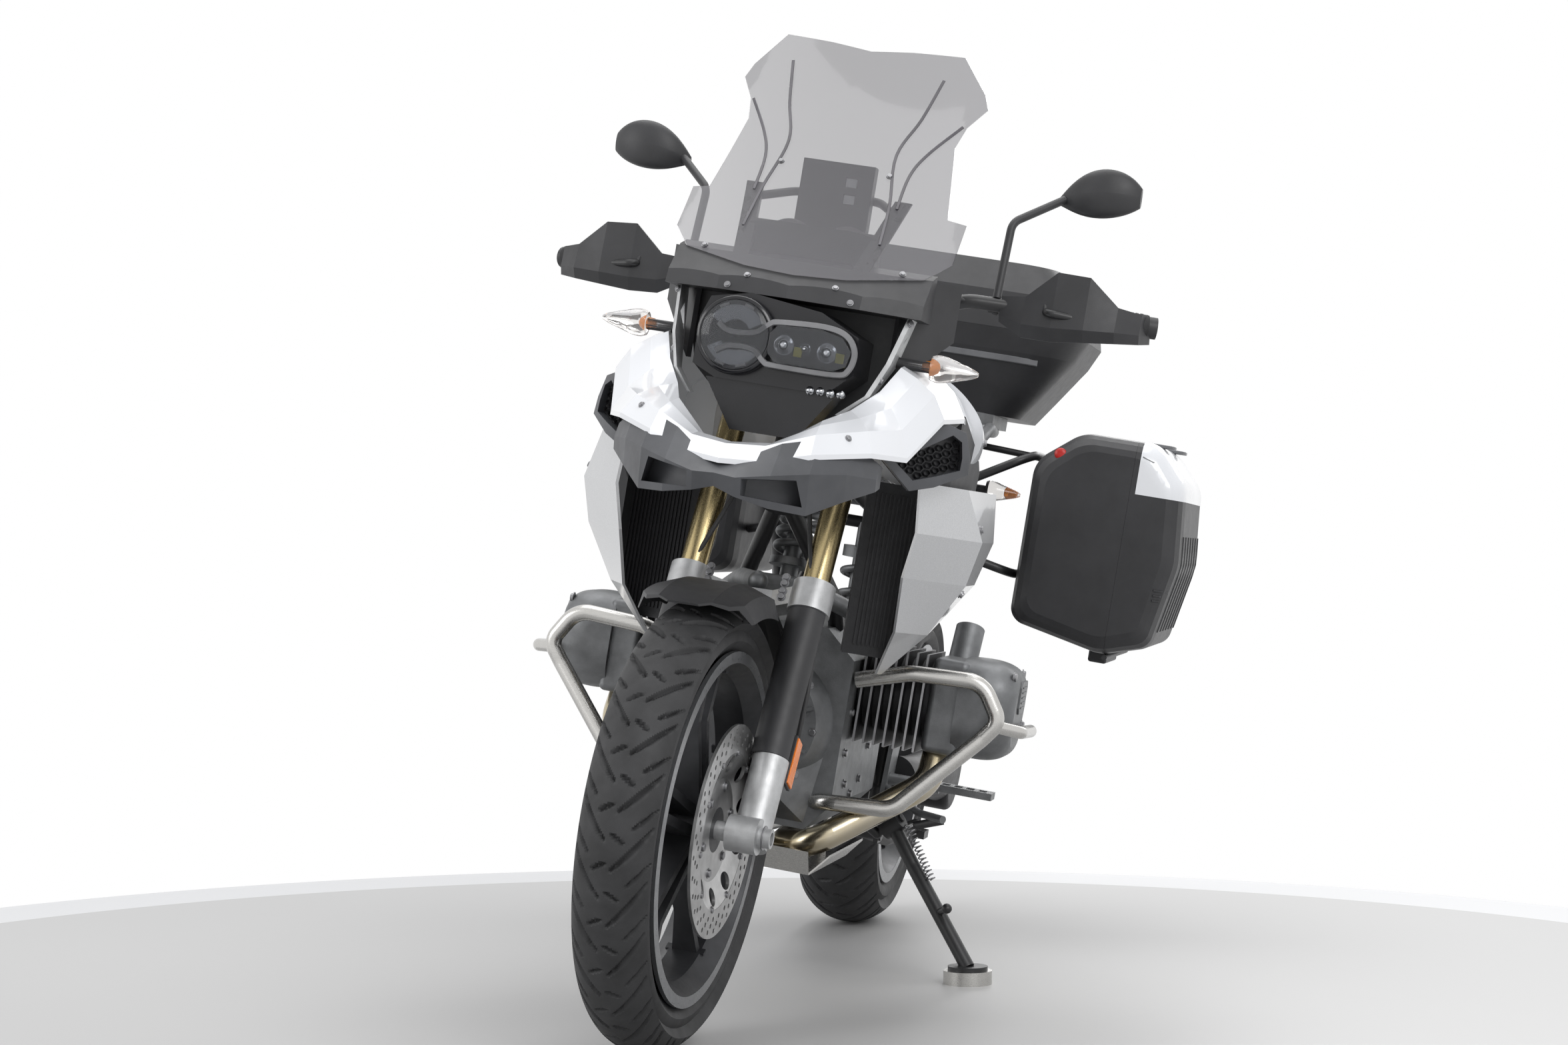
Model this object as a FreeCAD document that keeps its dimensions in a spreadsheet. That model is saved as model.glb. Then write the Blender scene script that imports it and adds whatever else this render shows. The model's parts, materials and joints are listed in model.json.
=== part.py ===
import FreeCAD, Part
import Sketcher
import math
import os

# Adventure motorcycle leaning on its side stand.
# Every sub-part is drawn upright in the bike's own axes: x to the rider's left, y backwards from the
# front axle, z up from the ground. A placement then leans the whole bike onto its stand, and the
# steered pieces are turned about the steering axis first.

doc = FreeCAD.newDocument("AdventureMotorcycle")

# Driving dimensions in millimetres and degrees

SIZES = {
    # chassis geometry
    "wheelbase": 1507, "lean_angle": 9.6, "rake_angle": 25.7, "trail": 100, "steer_rest_angle": 3.5,
    "origin_x": 130, "origin_y": 771, "running_gap": 5, "pin_gap": 0.3, "seat_gap": 0.3, "overrun": 10,
    # tyres and rims
    "front_tyre_radius": 325, "front_tyre_width": 120, "front_crown_radius": 62,
    "rear_tyre_radius": 318, "rear_tyre_width": 172, "rear_crown_radius": 92,
    "front_flange_radius": 253, "front_bead_radius": 243, "front_well_radius": 226, "front_rim_width": 96,
    "rear_flange_radius": 231, "rear_bead_radius": 219, "rear_well_radius": 200, "rear_rim_width": 134,
    "rim_wall": 6, "well_width": 46, "tyre_wall": 8, "bead_gap": 0.3,
    "front_hub_radius": 32, "front_hub_width": 104, "front_spoke_depth": 58, "front_spoke_width": 15,
    "rear_hub_radius": 62, "rear_hub_width": 92, "rear_spoke_depth": 74, "rear_spoke_width": 19,
    "spoke_pairs": 5, "spoke_spread": 19, "spoke_taper": 20, "rear_hub_bore": 26.5, "hub_pin_bore": 20,
    "rear_hub_offset": -6, "drive_length": 112,
    # axle and brakes
    "axle_radius": 14, "axle_bore": 9.5, "disc_radius": 152.5, "disc_thickness": 4.5, "disc_spacing": 126,
    "disc_inner_radius": 116, "carrier_radius": 74, "carrier_thickness": 4, "disc_hole_radius": 3.6,
    "disc_hole_count": 30, "disc_hole_twist": 4, "rear_disc_radius": 138, "rear_disc_inner": 104, "rear_disc_thickness": 5,
    "caliper_length": 118, "caliper_height": 64, "caliper_width": 66, "caliper_angle": 22, "caliper_slot": 24,
    # fork
    "fork_spacing": 190, "fork_offset": 28, "stanchion_radius": 20.5, "slider_radius": 23,
    "bridge_along": 716, "bridge_height": 46, "bridge_wall": 9, "yoke_along": 1072, "yoke_height": 26,
    "fork_top_along": 1096, "slider_low_along": 352, "slider_top_along": 742, "casting_radius": 26.5,
    "casting_height": 110, "casting_shift": 2, "axle_lug_radius": 26, "axle_overhang": 10,
    "mudguard_gap": 20, "mudguard_wall": 3, "mudguard_half_width": 86, "mudguard_waist": 66,
    "mudguard_drop": 42, "mudguard_front_angle": 24, "mudguard_rear_angle": 66, "lobe_rear_angle": 10,
    "fork_guard_wall": 3, "fork_guard_gap": 3, "fork_guard_length": 330,
    # handlebar, mirrors and guards
    "bar_radius": 11, "grip_radius": 17, "grip_length": 128, "bar_half_width": 468, "bar_bend": 60,
    "bar_centre_y": 436, "bar_centre_z": 1092, "bar_rise": 44, "bar_sweep": 92, "bar_clamp_half": 40,
    "bar_knee_half": 210, "handguard_length": 210, "handguard_height": 78, "handguard_bump": 54,
    "handguard_wall": 4, "handguard_depth": 74, "mirror_width": 132, "mirror_height": 78, "mirror_depth": 38,
    "mirror_x": 372, "mirror_y": 560, "mirror_z": 1335, "mirror_root_x": 250, "mirror_stem_radius": 6.5,
    "mirror_stem_bend": 30,
    # engine
    "crank_z": 452, "engine_front_y": 418, "engine_rear_y": 780, "engine_half_width": 128,
    "engine_top_z": 610, "engine_low_z": 296, "gearbox_rear_y": 908, "cover_radius": 112, "cover_depth": 34,
    "cover_wall": 12, "cover_rib_count": 8,
    "barrel_radius": 62, "barrel_length": 112, "fin_count": 7, "fin_thickness": 3.5, "fin_reach": 19,
    "cylinder_stagger": 34, "cylinder_y": 572, "cylinder_z": 520, "head_length": 92, "head_height": 156,
    "head_width": 168, "cover_length": 44, "cover_round": 26,
    # exhaust
    "header_radius": 21.5, "header_bend": 60, "silencer_radius": 62, "silencer_length": 460,
    "silencer_x": 172, "silencer_y": 1130, "silencer_z": 470, "silencer_rise": 100, "silencer_bore": 24,
    "silencer_bore_depth": 60,
    # engine guards and skid plate
    "guard_radius": 12.7, "guard_reach": 358, "guard_bend": 42, "guard_y": 452, "guard_top_z": 558,
    "guard_low_z": 352, "guard_rear_y": 600, "skid_thickness": 4, "skid_half_width": 118,
    "skid_front_y": 350, "skid_rear_y": 690, "skid_low_z": 232, "skid_rise": 40, "skid_side": 52,
    # windscreen
    "screen_low_z": 1122, "screen_height": 391, "screen_half_width": 214, "screen_low_y": 116,
    "screen_lean": 300, "screen_curve": 52, "screen_thickness": 4, "holder_width": 112,
    "holder_height": 106, "holder_thickness": 24,
    # front fairing
    "nose_half_width": 262, "nose_front_y": -150, "nose_length": 500, "nose_low_z": 835, "nose_height": 200,
    "nose_wall": 7, "beak_half_width": 192, "beak_front_y": -168, "beak_length": 240, "beak_low_z": 785,
    "beak_height": 110, "lamp_y": 84, "lamp_z": 1022, "lamp_half_width": 118, "lamp_height": 128,
    "lamp_depth": 120, "cowl_wall": 18, "lens_radius": 56, "lens_x": 58, "led_length": 112, "led_height": 48,
    "strut_wall": 6, "strut_width": 26,
    "shroud_half_width": 312, "shroud_low_z": 560, "shroud_height": 296, "shroud_front_y": 176,
    "shroud_length": 260, "shroud_wall": 4, "radiator_thickness": 32, "radiator_height": 262,
    "radiator_width": 128, "radiator_x": 186, "radiator_turn": 14, "radiator_y": 330, "radiator_z": 716,
    "radiator_fin_count": 16,
    # tank and side panels
    "tank_front_y": 340, "tank_length": 420, "tank_top_z": 1026, "tank_low_z": 850, "tank_half_width": 205,
    "panel_wall": 8, "spring_radius": 33.6, "spring_wire_radius": 6.5, "spring_turns": 6,
    # seats
    "rider_seat_front_y": 742, "rider_seat_length": 360, "rider_seat_width": 300, "rider_seat_z": 800,
    "rider_seat_height": 66, "pillion_seat_length": 330, "pillion_seat_width": 270, "pillion_seat_z": 866,
    "pillion_seat_height": 66,
    # rear end
    "rack_z": 972, "rack_tube_radius": 11, "rack_front_y": 1180, "rack_length": 400, "rack_width": 290,
    "plate_thickness": 8, "topcase_width": 560, "topcase_height": 290, "topcase_front_y": 1388,
    "topcase_length": 428, "topcase_low_z": 1002, "case_wall": 4, "topcase_split_share": 0.56,
    "sidecase_front_y": 1128, "sidecase_length": 486, "sidecase_low_z": 604, "sidecase_height": 386,
    "sidecase_inner_x": 256, "sidecase_width": 286, "sidecase_split_share": 0.63, "case_round": 60,
    "hinge_radius": 5, "case_foot_depth": 20, "case_foot_width": 34,
    "carrier_tube_radius": 8, "fender_rear_y": 1868, "fender_wall": 6,
    # stands and rests
    "stand_pivot_x": 168, "stand_pivot_y": 800, "stand_pivot_z": 284, "stand_tube_radius": 12,
    "puck_radius": 40, "puck_height": 22, "puck_x": 350, "puck_y": 735, "foot_thickness": 7,
    "peg_x": 268, "peg_y": 892, "peg_z": 352, "peg_length": 96, "peg_width": 46,
    "centre_pivot_y": 938, "centre_pivot_z": 268, "centre_leg_length": 262, "centre_half_width": 132,
    "centre_tube_radius": 13,
}

sheet = doc.addObject("Spreadsheet::Sheet", "Sizes")
for row, (alias, number) in enumerate(SIZES.items(), start=1):
    sheet.set(f"A{row}", alias.replace("_", " "))
    sheet.set(f"B{row}", str(number))
    sheet.setAlias(f"B{row}", alias)
doc.recompute()


class Measure:
    """A length with two faces: the expression that the document keeps and its number of today."""

    def __init__(self, text, number):
        self.text = text
        self.number = number

    def join(self, other, sign, number):
        text = other.text if isinstance(other, Measure) else repr(other)
        return Measure(f"({self.text} {sign} {text})", number)

    def __add__(self, other):
        return self.join(other, "+", self.number + number_of(other))

    def __sub__(self, other):
        return self.join(other, "-", self.number - number_of(other))

    def __mul__(self, other):
        return self.join(other, "*", self.number * number_of(other))

    def __truediv__(self, other):
        return self.join(other, "/", self.number / number_of(other))

    def __neg__(self):
        return Measure(f"(0 - {self.text})", -self.number)


def number_of(value):
    return value.number if isinstance(value, Measure) else value


def cell(alias):
    """The named size as a measure that an expression can be bound to."""
    return Measure(f"Sizes.{alias}", float(sheet.get(alias)))


def size(alias):
    """The named size as a plain number."""
    return float(sheet.get(alias))


def vec(x, y, z):
    return FreeCAD.Vector(x, y, z)


AXIS_X = vec(1, 0, 0)
AXIS_Y = vec(0, 1, 0)
AXIS_Z = vec(0, 0, 1)
CENTRE = vec(0, 0, 0)
SIDES = (1, -1)

# Placements: the lean of the whole bike and the turn of its steering

lean = size("lean_angle")
front_dip = size("front_crown_radius") * (1 - math.cos(math.radians(lean)))
rear_dip = size("rear_crown_radius") * (1 - math.cos(math.radians(lean)))
pitch = math.degrees(math.asin((rear_dip - front_dip) / size("wheelbase")))
shift_home = FreeCAD.Placement(vec(-size("origin_x"), -size("origin_y"), front_dip), FreeCAD.Rotation())
pitch_turn = FreeCAD.Placement(CENTRE, FreeCAD.Rotation(AXIS_X, pitch))
lean_turn = FreeCAD.Placement(CENTRE, FreeCAD.Rotation(AXIS_Y, lean))
CHASSIS = shift_home.multiply(pitch_turn).multiply(lean_turn)

rake = math.radians(size("rake_angle"))
STEER_BASE = vec(0, -size("trail"), 0)
STEER_AXIS = vec(0, math.sin(rake), math.cos(rake))
STEER_FORWARD = vec(0, -math.cos(rake), math.sin(rake))
steer_turn = FreeCAD.Placement(CENTRE, FreeCAD.Rotation(STEER_AXIS, -size("steer_rest_angle")), STEER_BASE)
STEERED = CHASSIS.multiply(steer_turn)

FRONT_AXLE = vec(0, 0, size("front_tyre_radius"))
REAR_AXLE = vec(0, size("wheelbase"), size("rear_tyre_radius"))


def fork_point(x, forward, along):
    """A point given beside, ahead of and along the steering axis."""
    return STEER_BASE + AXIS_X * x + STEER_FORWARD * forward + STEER_AXIS * along


axle_along = (FRONT_AXLE - STEER_BASE).dot(STEER_AXIS)
axle_forward = (FRONT_AXLE - STEER_BASE).dot(STEER_FORWARD)

# Shape helpers


def mirrored(shape):
    return shape.mirror(CENTRE, AXIS_X)


def fused(shapes):
    return shapes[0].multiFuse(list(shapes[1:])) if len(shapes) > 1 else shapes[0]


def main_solid(shape):
    """The largest piece that a cut leaves."""
    return max(shape.Solids, key=lambda solid: solid.Volume)


def block(low, high):
    span = high - low
    return Part.makeBox(span.x, span.y, span.z, low)


def rod(start, end, radius):
    return Part.makeCylinder(radius, (end - start).Length, start, end - start)


def outline(points):
    return Part.makePolygon(list(points) + [points[0]])


def prism(points, direction):
    return Part.Face(outline(points)).extrude(direction)


def loft(sections, ruled=False):
    """A solid skin through closed outlines with as many corners each."""
    return skinned([outline(points) for points in sections], ruled)


def skinned(wires, ruled=False):
    """A solid through closed wires with its faces looking out."""
    solid = Part.makeLoft(wires, True, ruled)
    return solid if solid.Volume > 0 else Part.makeLoft(wires[::-1], True, ruled)


def ring_angles(count):
    return [2 * math.pi * step / count for step in range(count)]


def smooth_loop(points):
    curve = Part.BSplineCurve()
    curve.interpolate(Points=points, PeriodicFlag=True)
    return Part.Wire(curve.toShape())


def bent_wire(points, bend):
    """Straight runs joined by tangent arcs; each arc keeps to the bend radius where its runs allow."""
    edges = []
    start = points[0]
    for before, corner, after in zip(points, points[1:], points[2:]):
        inward = (before - corner).normalize()
        outward = (after - corner).normalize()
        half_turn = (math.pi - inward.getAngle(outward)) / 2
        room = 0.45 * min((before - corner).Length, (after - corner).Length)
        trim = min(bend * math.tan(half_turn), room)
        radius = trim / math.tan(half_turn)
        middle = (inward + outward).normalize()
        reach = radius / math.cos(half_turn) - radius
        first = corner + inward * trim
        last = corner + outward * trim
        edges.append(Part.LineSegment(start, first).toShape())
        edges.append(Part.Arc(first, corner + middle * reach, last).toShape())
        start = last
    edges.append(Part.LineSegment(start, points[-1]).toShape())
    return Part.Wire(edges)


def tube(points, radius, bend):
    """A round bar along straight runs and tangent arcs."""
    if len(points) == 2:
        return rod(points[0], points[1], radius)
    path = bent_wire(points, bend)
    ring = Part.Wire(Part.makeCircle(radius, points[0], points[1] - points[0]))
    return path.makePipeShell([ring], True, False)


def egg(y, half_width, low, high, squareness=0.72, count=16, lean_y=0):
    """A closed cross section, squarer than an ellipse, in the plane of one y."""
    points = []
    for angle in ring_angles(count):
        across = math.copysign(abs(math.cos(angle)) ** squareness, math.cos(angle))
        upward = math.copysign(abs(math.sin(angle)) ** squareness, math.sin(angle))
        height = (low + high) / 2 + upward * (high - low) / 2
        points.append(vec(across * half_width, y + lean_y * upward, height))
    return smooth_loop(points)


def smooth_body(sections):
    return skinned(sections)


def softened(shape, radius):
    """The same shape with all its edges rounded."""
    return shape.makeFillet(radius, shape.Edges)


# Document helpers


subparts = []


def place(item, label, placement=CHASSIS):
    item.Label = label
    item.Placement = placement.multiply(item.Placement)
    subparts.append(item)
    return item


def feature(label, shape, placement=CHASSIS):
    """A sub-part whose form neither a sketch nor a primitive gives."""
    item = doc.addObject("Part::Feature", label)
    item.Shape = shape
    return place(item, label, placement)


def at_home(name):
    """A finished sub-part's form in the upright bike's axes, for fitting another piece round it."""
    shape = doc.getObject(name).Shape.copy()
    shape.Placement = FreeCAD.Placement()
    return shape


def number_text(value):
    return value.text if isinstance(value, Measure) else repr(value)


def origin_plane(body, role):
    return next(plane for plane in body.Origin.OriginFeatures if plane.Role == role)


def sketch_on(body, name, role):
    sketch = body.newObject("Sketcher::SketchObject", name)
    sketch.AttachmentSupport = [(origin_plane(body, role), "")]
    sketch.MapMode = "FlatFace"
    return sketch


def draw_outline(sketch, corners):
    """Straight edges through corners that are bound to the named sizes."""
    numbers = [(number_of(across), number_of(upward)) for across, upward in corners]
    count = len(corners)
    first = sketch.GeometryCount
    for index in range(count):
        here = numbers[index]
        there = numbers[(index + 1) % count]
        sketch.addGeometry(Part.LineSegment(vec(here[0], here[1], 0), vec(there[0], there[1], 0)), False)
    for index in range(count):
        after = first + (index + 1) % count
        sketch.addConstraint(Sketcher.Constraint("Coincident", first + index, 2, after, 1))
    for index, (across, upward) in enumerate(corners):
        for kind, value in (("DistanceX", across), ("DistanceY", upward)):
            number = number_of(value)
            constraint = Sketcher.Constraint(kind, -1, 1, first + index, 1, number)
            place_in = sketch.addConstraint(constraint)
            if isinstance(value, Measure):
                sketch.setExpression(f"Constraints[{place_in}]", value.text)
    return sketch


def draw_circle(sketch, across, upward, radius):
    centre = vec(number_of(across), number_of(upward), 0)
    index = sketch.addGeometry(Part.Circle(centre, AXIS_Z, number_of(radius)), False)
    for kind, value in (("DistanceX", across), ("DistanceY", upward)):
        if number_of(value) == 0:
            continue
        place_in = sketch.addConstraint(Sketcher.Constraint(kind, -1, 1, index, 3, number_of(value)))
        sketch.setExpression(f"Constraints[{place_in}]", value.text)
    if number_of(across) == 0 and number_of(upward) == 0:
        sketch.addConstraint(Sketcher.Constraint("Coincident", index, 3, -1, 1))
    place_in = sketch.addConstraint(Sketcher.Constraint("Radius", index, number_of(radius)))
    sketch.setExpression(f"Constraints[{place_in}]", number_text(radius))
    return sketch


def revolve(body, sketch, name, kind="PartDesign::Revolution"):
    """A full turn about the body's x axis."""
    turned = body.newObject(kind, name)
    turned.Profile = sketch
    turned.ReferenceAxis = (sketch, ["H_Axis"])
    turned.Angle = 360
    sketch.Visibility = False
    return turned


def pad(body, sketch, name, length, kind="PartDesign::Pad"):
    """A thickness laid half to each side of the sketch."""
    padded = body.newObject(kind, name)
    padded.Profile = sketch
    padded.setExpression("Length", number_text(length))
    padded.Midplane = True
    return padded


def polar(body, features, name, count):
    pattern = body.newObject("PartDesign::PolarPattern", name)
    pattern.Originals = features
    pattern.Axis = (origin_plane(body, "X_Axis"), [""])
    pattern.Angle = 360
    pattern.setExpression("Occurrences", number_text(count))
    body.Tip = pattern
    return pattern


# Wheels


def wheel_body(label, centre, placement):
    body = doc.addObject("PartDesign::Body", label)
    body.Placement = FreeCAD.Placement(centre, FreeCAD.Rotation())
    return place(body, label, placement)


CROWN_LIMIT_SHARE = 0.985


def make_tyre(end, centre, placement):
    """A tyre shell: crown and sidewalls outside, a hollow for the air inside."""
    radius = cell(f"{end}_tyre_radius")
    half = cell(f"{end}_tyre_width") / 2
    crown = cell(f"{end}_crown_radius")
    bead = cell(f"{end}_bead_radius") + cell("bead_gap")
    seat = cell(f"{end}_rim_width") / 2 - cell("rim_wall") - cell("bead_gap")
    wall = cell("tyre_wall")
    flange = cell(f"{end}_flange_radius")
    body = wheel_body(f"{end}_tyre", centre, placement)
    sketch = sketch_on(body, f"{end}_tyre_section", "XY_Plane")
    crown_steps = 5
    outer = []
    reach = math.asin(min(number_of(half) / number_of(crown), CROWN_LIMIT_SHARE))
    for step in range(-crown_steps, crown_steps + 1):
        angle = reach * step / crown_steps
        outer.append((crown * math.sin(angle), radius - crown * (1 - math.cos(angle))))
    shoulder_drop = crown * (1 - math.cos(reach))
    shoulder = radius - shoulder_drop
    right_wall = [(half, shoulder - (shoulder - flange) * 0.35), (half * 0.95, flange + (shoulder - flange) * 0.22)]
    right_bead = [(seat, flange), (seat, bead), (seat - wall * 1.6, bead)]
    inner = [(half - wall * 1.3, shoulder - wall), (half * 0.55, radius - wall - shoulder_drop * 0.42)]
    corners = outer + right_wall + right_bead + inner
    corners += [(-inner[1][0], inner[1][1]), (-inner[0][0], inner[0][1])]
    corners += [(-across, upward) for across, upward in reversed(right_wall + right_bead)]
    draw_outline(sketch, corners)
    revolve(body, sketch, f"{end}_tyre_turn")
    return body


def make_rim(end, centre, placement):
    """A cast rim: spokes in pairs between the hub and the dropped well."""
    half = cell(f"{end}_rim_width") / 2
    flange = cell(f"{end}_flange_radius")
    bead = cell(f"{end}_bead_radius")
    well = cell(f"{end}_well_radius")
    well_half = cell("well_width") / 2
    wall = cell("rim_wall")
    hub = cell(f"{end}_hub_radius")
    hub_half = cell(f"{end}_hub_width") / 2
    depth = cell(f"{end}_spoke_depth")
    spread = cell("spoke_spread")
    spoke = cell(f"{end}_spoke_width")
    body = wheel_body(f"{end}_rim", centre, placement)
    sketch = sketch_on(body, f"{end}_spoke_outline", "YZ_Plane")
    root = hub * 0.8
    tip = well - wall * 0.5
    draw_outline(sketch, [(spread * 0.3, root), (spread * 0.3 + spoke, root),
                          (spread + spoke * 0.8, tip), (spread, tip)])
    spoke_pad = pad(body, sketch, f"{end}_spoke", depth)
    mirror_sketch = sketch_on(body, f"{end}_spoke_twin_outline", "YZ_Plane")
    draw_outline(mirror_sketch, [(-(spread * 0.3), root), (-spread, tip),
                                 (-(spread + spoke * 0.8), tip), (-(spread * 0.3 + spoke), root)])
    twin_pad = pad(body, mirror_sketch, f"{end}_spoke_twin", depth)
    polar(body, [spoke_pad, twin_pad], f"{end}_spokes", cell("spoke_pairs"))
    for side, sign in (("left", 1), ("right", -1)):
        taper = sketch_on(body, f"{end}_taper_{side}", "XY_Plane")
        edge = depth / 2
        slim = edge - cell("spoke_taper") * 0.5
        waist = edge - cell("spoke_taper") * (0.85 if end == "front" else 1.1)
        rows = [(edge, hub), (edge + wall, hub), (edge + wall, well - wall), (slim, well - wall),
                (waist, (hub + well) * 0.58)]
        draw_outline(taper, [(across * sign, upward) for across, upward in rows])
        revolve(body, taper, f"{end}_taper_cut_{side}", "PartDesign::Groove")
    section = sketch_on(body, f"{end}_rim_section", "XY_Plane")
    draw_outline(section, [
        (-half, bead - wall), (-well_half, well - wall), (well_half, well - wall), (half, bead - wall),
        (half, flange), (half - wall, flange), (half - wall, bead), (well_half, well),
        (-well_half, well), (-(half - wall), bead), (-(half - wall), flange), (-half, flange)])
    revolve(body, section, f"{end}_rim_turn")
    hub_sketch = sketch_on(body, f"{end}_hub_section", "XY_Plane")
    if end == "front":
        bore = cell("axle_radius") + cell("pin_gap")
        left = hub_half
        right = -hub_half
    else:
        bore = cell("rear_hub_bore")
        left = hub_half + cell("rear_hub_offset")
        right = cell("rear_hub_offset") - hub_half
    draw_outline(hub_sketch, [(right, bore), (left, bore), (left, hub), (right, hub)])
    revolve(body, hub_sketch, f"{end}_hub_turn")
    return body


def make_front_discs():
    """Two brake rings with rows of holes, each carried by a thin spider on the hub."""
    half = cell("disc_spacing") / 2
    thick = cell("disc_thickness")
    carrier = cell("carrier_thickness")
    hub_half = cell("front_hub_width") / 2
    bore = cell("front_hub_radius") + cell("pin_gap")
    body = wheel_body("front_discs", FRONT_AXLE, STEERED)
    for side, sign in (("left", 1), ("right", -1)):
        section = sketch_on(body, f"disc_section_{side}", "XY_Plane")
        outer = half + thick / 2
        inner = half - thick / 2
        seat = hub_half - carrier
        rows = [(seat, bore), (hub_half, bore), (hub_half, cell("carrier_radius")),
                (inner + carrier, cell("disc_inner_radius") - carrier),
                (outer, cell("disc_inner_radius") - carrier), (outer, cell("disc_radius")),
                (inner, cell("disc_radius")), (inner, cell("disc_inner_radius")),
                (seat, cell("carrier_radius") + carrier)]
        draw_outline(section, [(across * sign, upward) for across, upward in rows])
        revolve(body, section, f"disc_turn_{side}")
    holes = sketch_on(body, "disc_holes", "YZ_Plane")
    middle = (cell("disc_radius") + cell("disc_inner_radius")) / 2
    step = (cell("disc_radius") - cell("disc_inner_radius")) / 4
    for shift, twist in ((-1, 0), (0, 1), (1, 2)):
        radius = middle + step * shift
        turn = math.radians(size("disc_hole_twist") * twist)
        draw_circle(holes, radius * math.sin(turn) if turn else 0, radius * math.cos(turn),
                    cell("disc_hole_radius"))
    cut = pad(body, holes, "disc_hole_cut", cell("disc_spacing") * 2, "PartDesign::Pocket")
    polar(body, [cut], "disc_hole_ring", cell("disc_hole_count"))
    windows = sketch_on(body, "carrier_windows", "YZ_Plane")
    window_radius = (cell("carrier_radius") + cell("disc_inner_radius")) / 2
    draw_circle(windows, 0, window_radius, cell("carrier_thickness") * 3.2)
    window_cut = pad(body, windows, "carrier_window_cut", cell("disc_spacing") * 2, "PartDesign::Pocket")
    polar(body, [window_cut], "carrier_window_ring", cell("spoke_pairs") * 2)
    return body


def make_rear_disc():
    """One brake ring on the right face of the rear hub."""
    face = cell("rear_hub_width") / 2 + cell("rear_hub_offset")
    thick = cell("rear_disc_thickness")
    body = wheel_body("rear_disc", REAR_AXLE, CHASSIS)
    section = sketch_on(body, "rear_disc_section", "XY_Plane")
    bore = cell("rear_hub_bore") + cell("rim_wall")
    rows = [(face + cell("pin_gap"), bore), (face + thick, bore), (face + thick, cell("rear_disc_radius")),
            (face + cell("pin_gap"), cell("rear_disc_radius"))]
    draw_outline(section, rows)
    revolve(body, section, "rear_disc_turn")
    holes = sketch_on(body, "rear_disc_holes", "YZ_Plane")
    draw_circle(holes, 0, (cell("rear_disc_radius") + cell("rear_disc_inner")) / 2, cell("disc_hole_radius") * 1.4)
    cut = pad(body, holes, "rear_disc_hole_cut", cell("rear_hub_width") * 4, "PartDesign::Pocket")
    polar(body, [cut], "rear_disc_hole_ring", cell("disc_hole_count"))
    return body


make_tyre("front", FRONT_AXLE, STEERED)
make_tyre("rear", REAR_AXLE, CHASSIS)
make_rim("front", FRONT_AXLE, STEERED)
make_rim("rear", REAR_AXLE, CHASSIS)
make_front_discs()
make_rear_disc()

# Front fork


def bar_centre():
    return vec(0, size("bar_centre_y"), size("bar_centre_z"))


def make_fork_tubes():
    """Two gold stanchions in a top yoke that carries the handlebar's risers."""
    half = size("fork_spacing") / 2
    forward = size("fork_offset")
    top = size("fork_top_along")
    low = size("bridge_along") + size("bridge_height") / 2 + size("pin_gap")
    yoke = size("yoke_along")
    depth = size("yoke_height")
    shapes = []
    for side in SIDES:
        shapes.append(rod(fork_point(side * half, forward, low), fork_point(side * half, forward, top),
                          size("stanchion_radius")))
        shapes.append(rod(fork_point(side * half, forward, yoke - depth / 2),
                          fork_point(side * half, forward, yoke + depth / 2), size("stanchion_radius") * 1.45))
    web = [fork_point(half, forward + depth * 0.8, yoke - depth * 0.4),
           fork_point(half * 0.35, -depth * 1.3, yoke - depth * 0.4),
           fork_point(-half * 0.35, -depth * 1.3, yoke - depth * 0.4),
           fork_point(-half, forward + depth * 0.8, yoke - depth * 0.4)]
    shapes.append(prism(web, STEER_AXIS * depth * 0.8))
    seat = bar_centre() - STEER_AXIS * size("bar_radius")
    for side in SIDES:
        riser = seat + AXIS_X * side * size("bar_clamp_half")
        along = (riser - STEER_BASE).dot(STEER_AXIS)
        foot = riser - STEER_AXIS * (along - yoke)
        shapes.append(rod(foot, riser, size("stanchion_radius") * 0.8))
    return feature("fork_tubes", fused(shapes), STEERED)


def make_fork_sliders():
    """Sliders under a clamped bridge, with cast feet that hold the hollow axle."""
    half = size("fork_spacing") / 2
    forward = size("fork_offset")
    bridge = size("bridge_along")
    height = size("bridge_height")
    foot_half = half + size("casting_shift")
    low = size("slider_low_along")
    shapes = []
    for side in SIDES:
        shapes.append(rod(fork_point(side * half, forward, low), fork_point(side * half, forward, bridge),
                          size("slider_radius")))
        shapes.append(rod(fork_point(side * half, forward, bridge - height / 2),
                          fork_point(side * half, forward, bridge + height / 2),
                          size("slider_radius") + size("bridge_wall")))
        shapes.append(rod(fork_point(side * foot_half, forward, low - size("casting_radius")),
                          fork_point(side * foot_half, forward, low + size("casting_height")),
                          size("casting_radius")))
        inner = foot_half - size("casting_radius")
        outer = foot_half + size("casting_radius") * 0.7
        shapes.append(rod(vec(side * inner, 0, FRONT_AXLE.z), vec(side * outer, 0, FRONT_AXLE.z),
                          size("axle_lug_radius")))
    brace = size("bridge_height") * 0.5
    rim = half - size("slider_radius")
    shapes.append(block_along(rim, brace, height))
    axle_end = foot_half + size("casting_radius") + size("axle_overhang")
    shapes.append(rod(FRONT_AXLE - AXIS_X * axle_end, FRONT_AXLE + AXIS_X * axle_end, size("axle_radius")))
    solid = fused(shapes)
    bore = rod(FRONT_AXLE - AXIS_X * axle_end * 2, FRONT_AXLE + AXIS_X * axle_end * 2, size("axle_bore"))
    return feature("fork_sliders", solid.cut(bore), STEERED)


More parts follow.
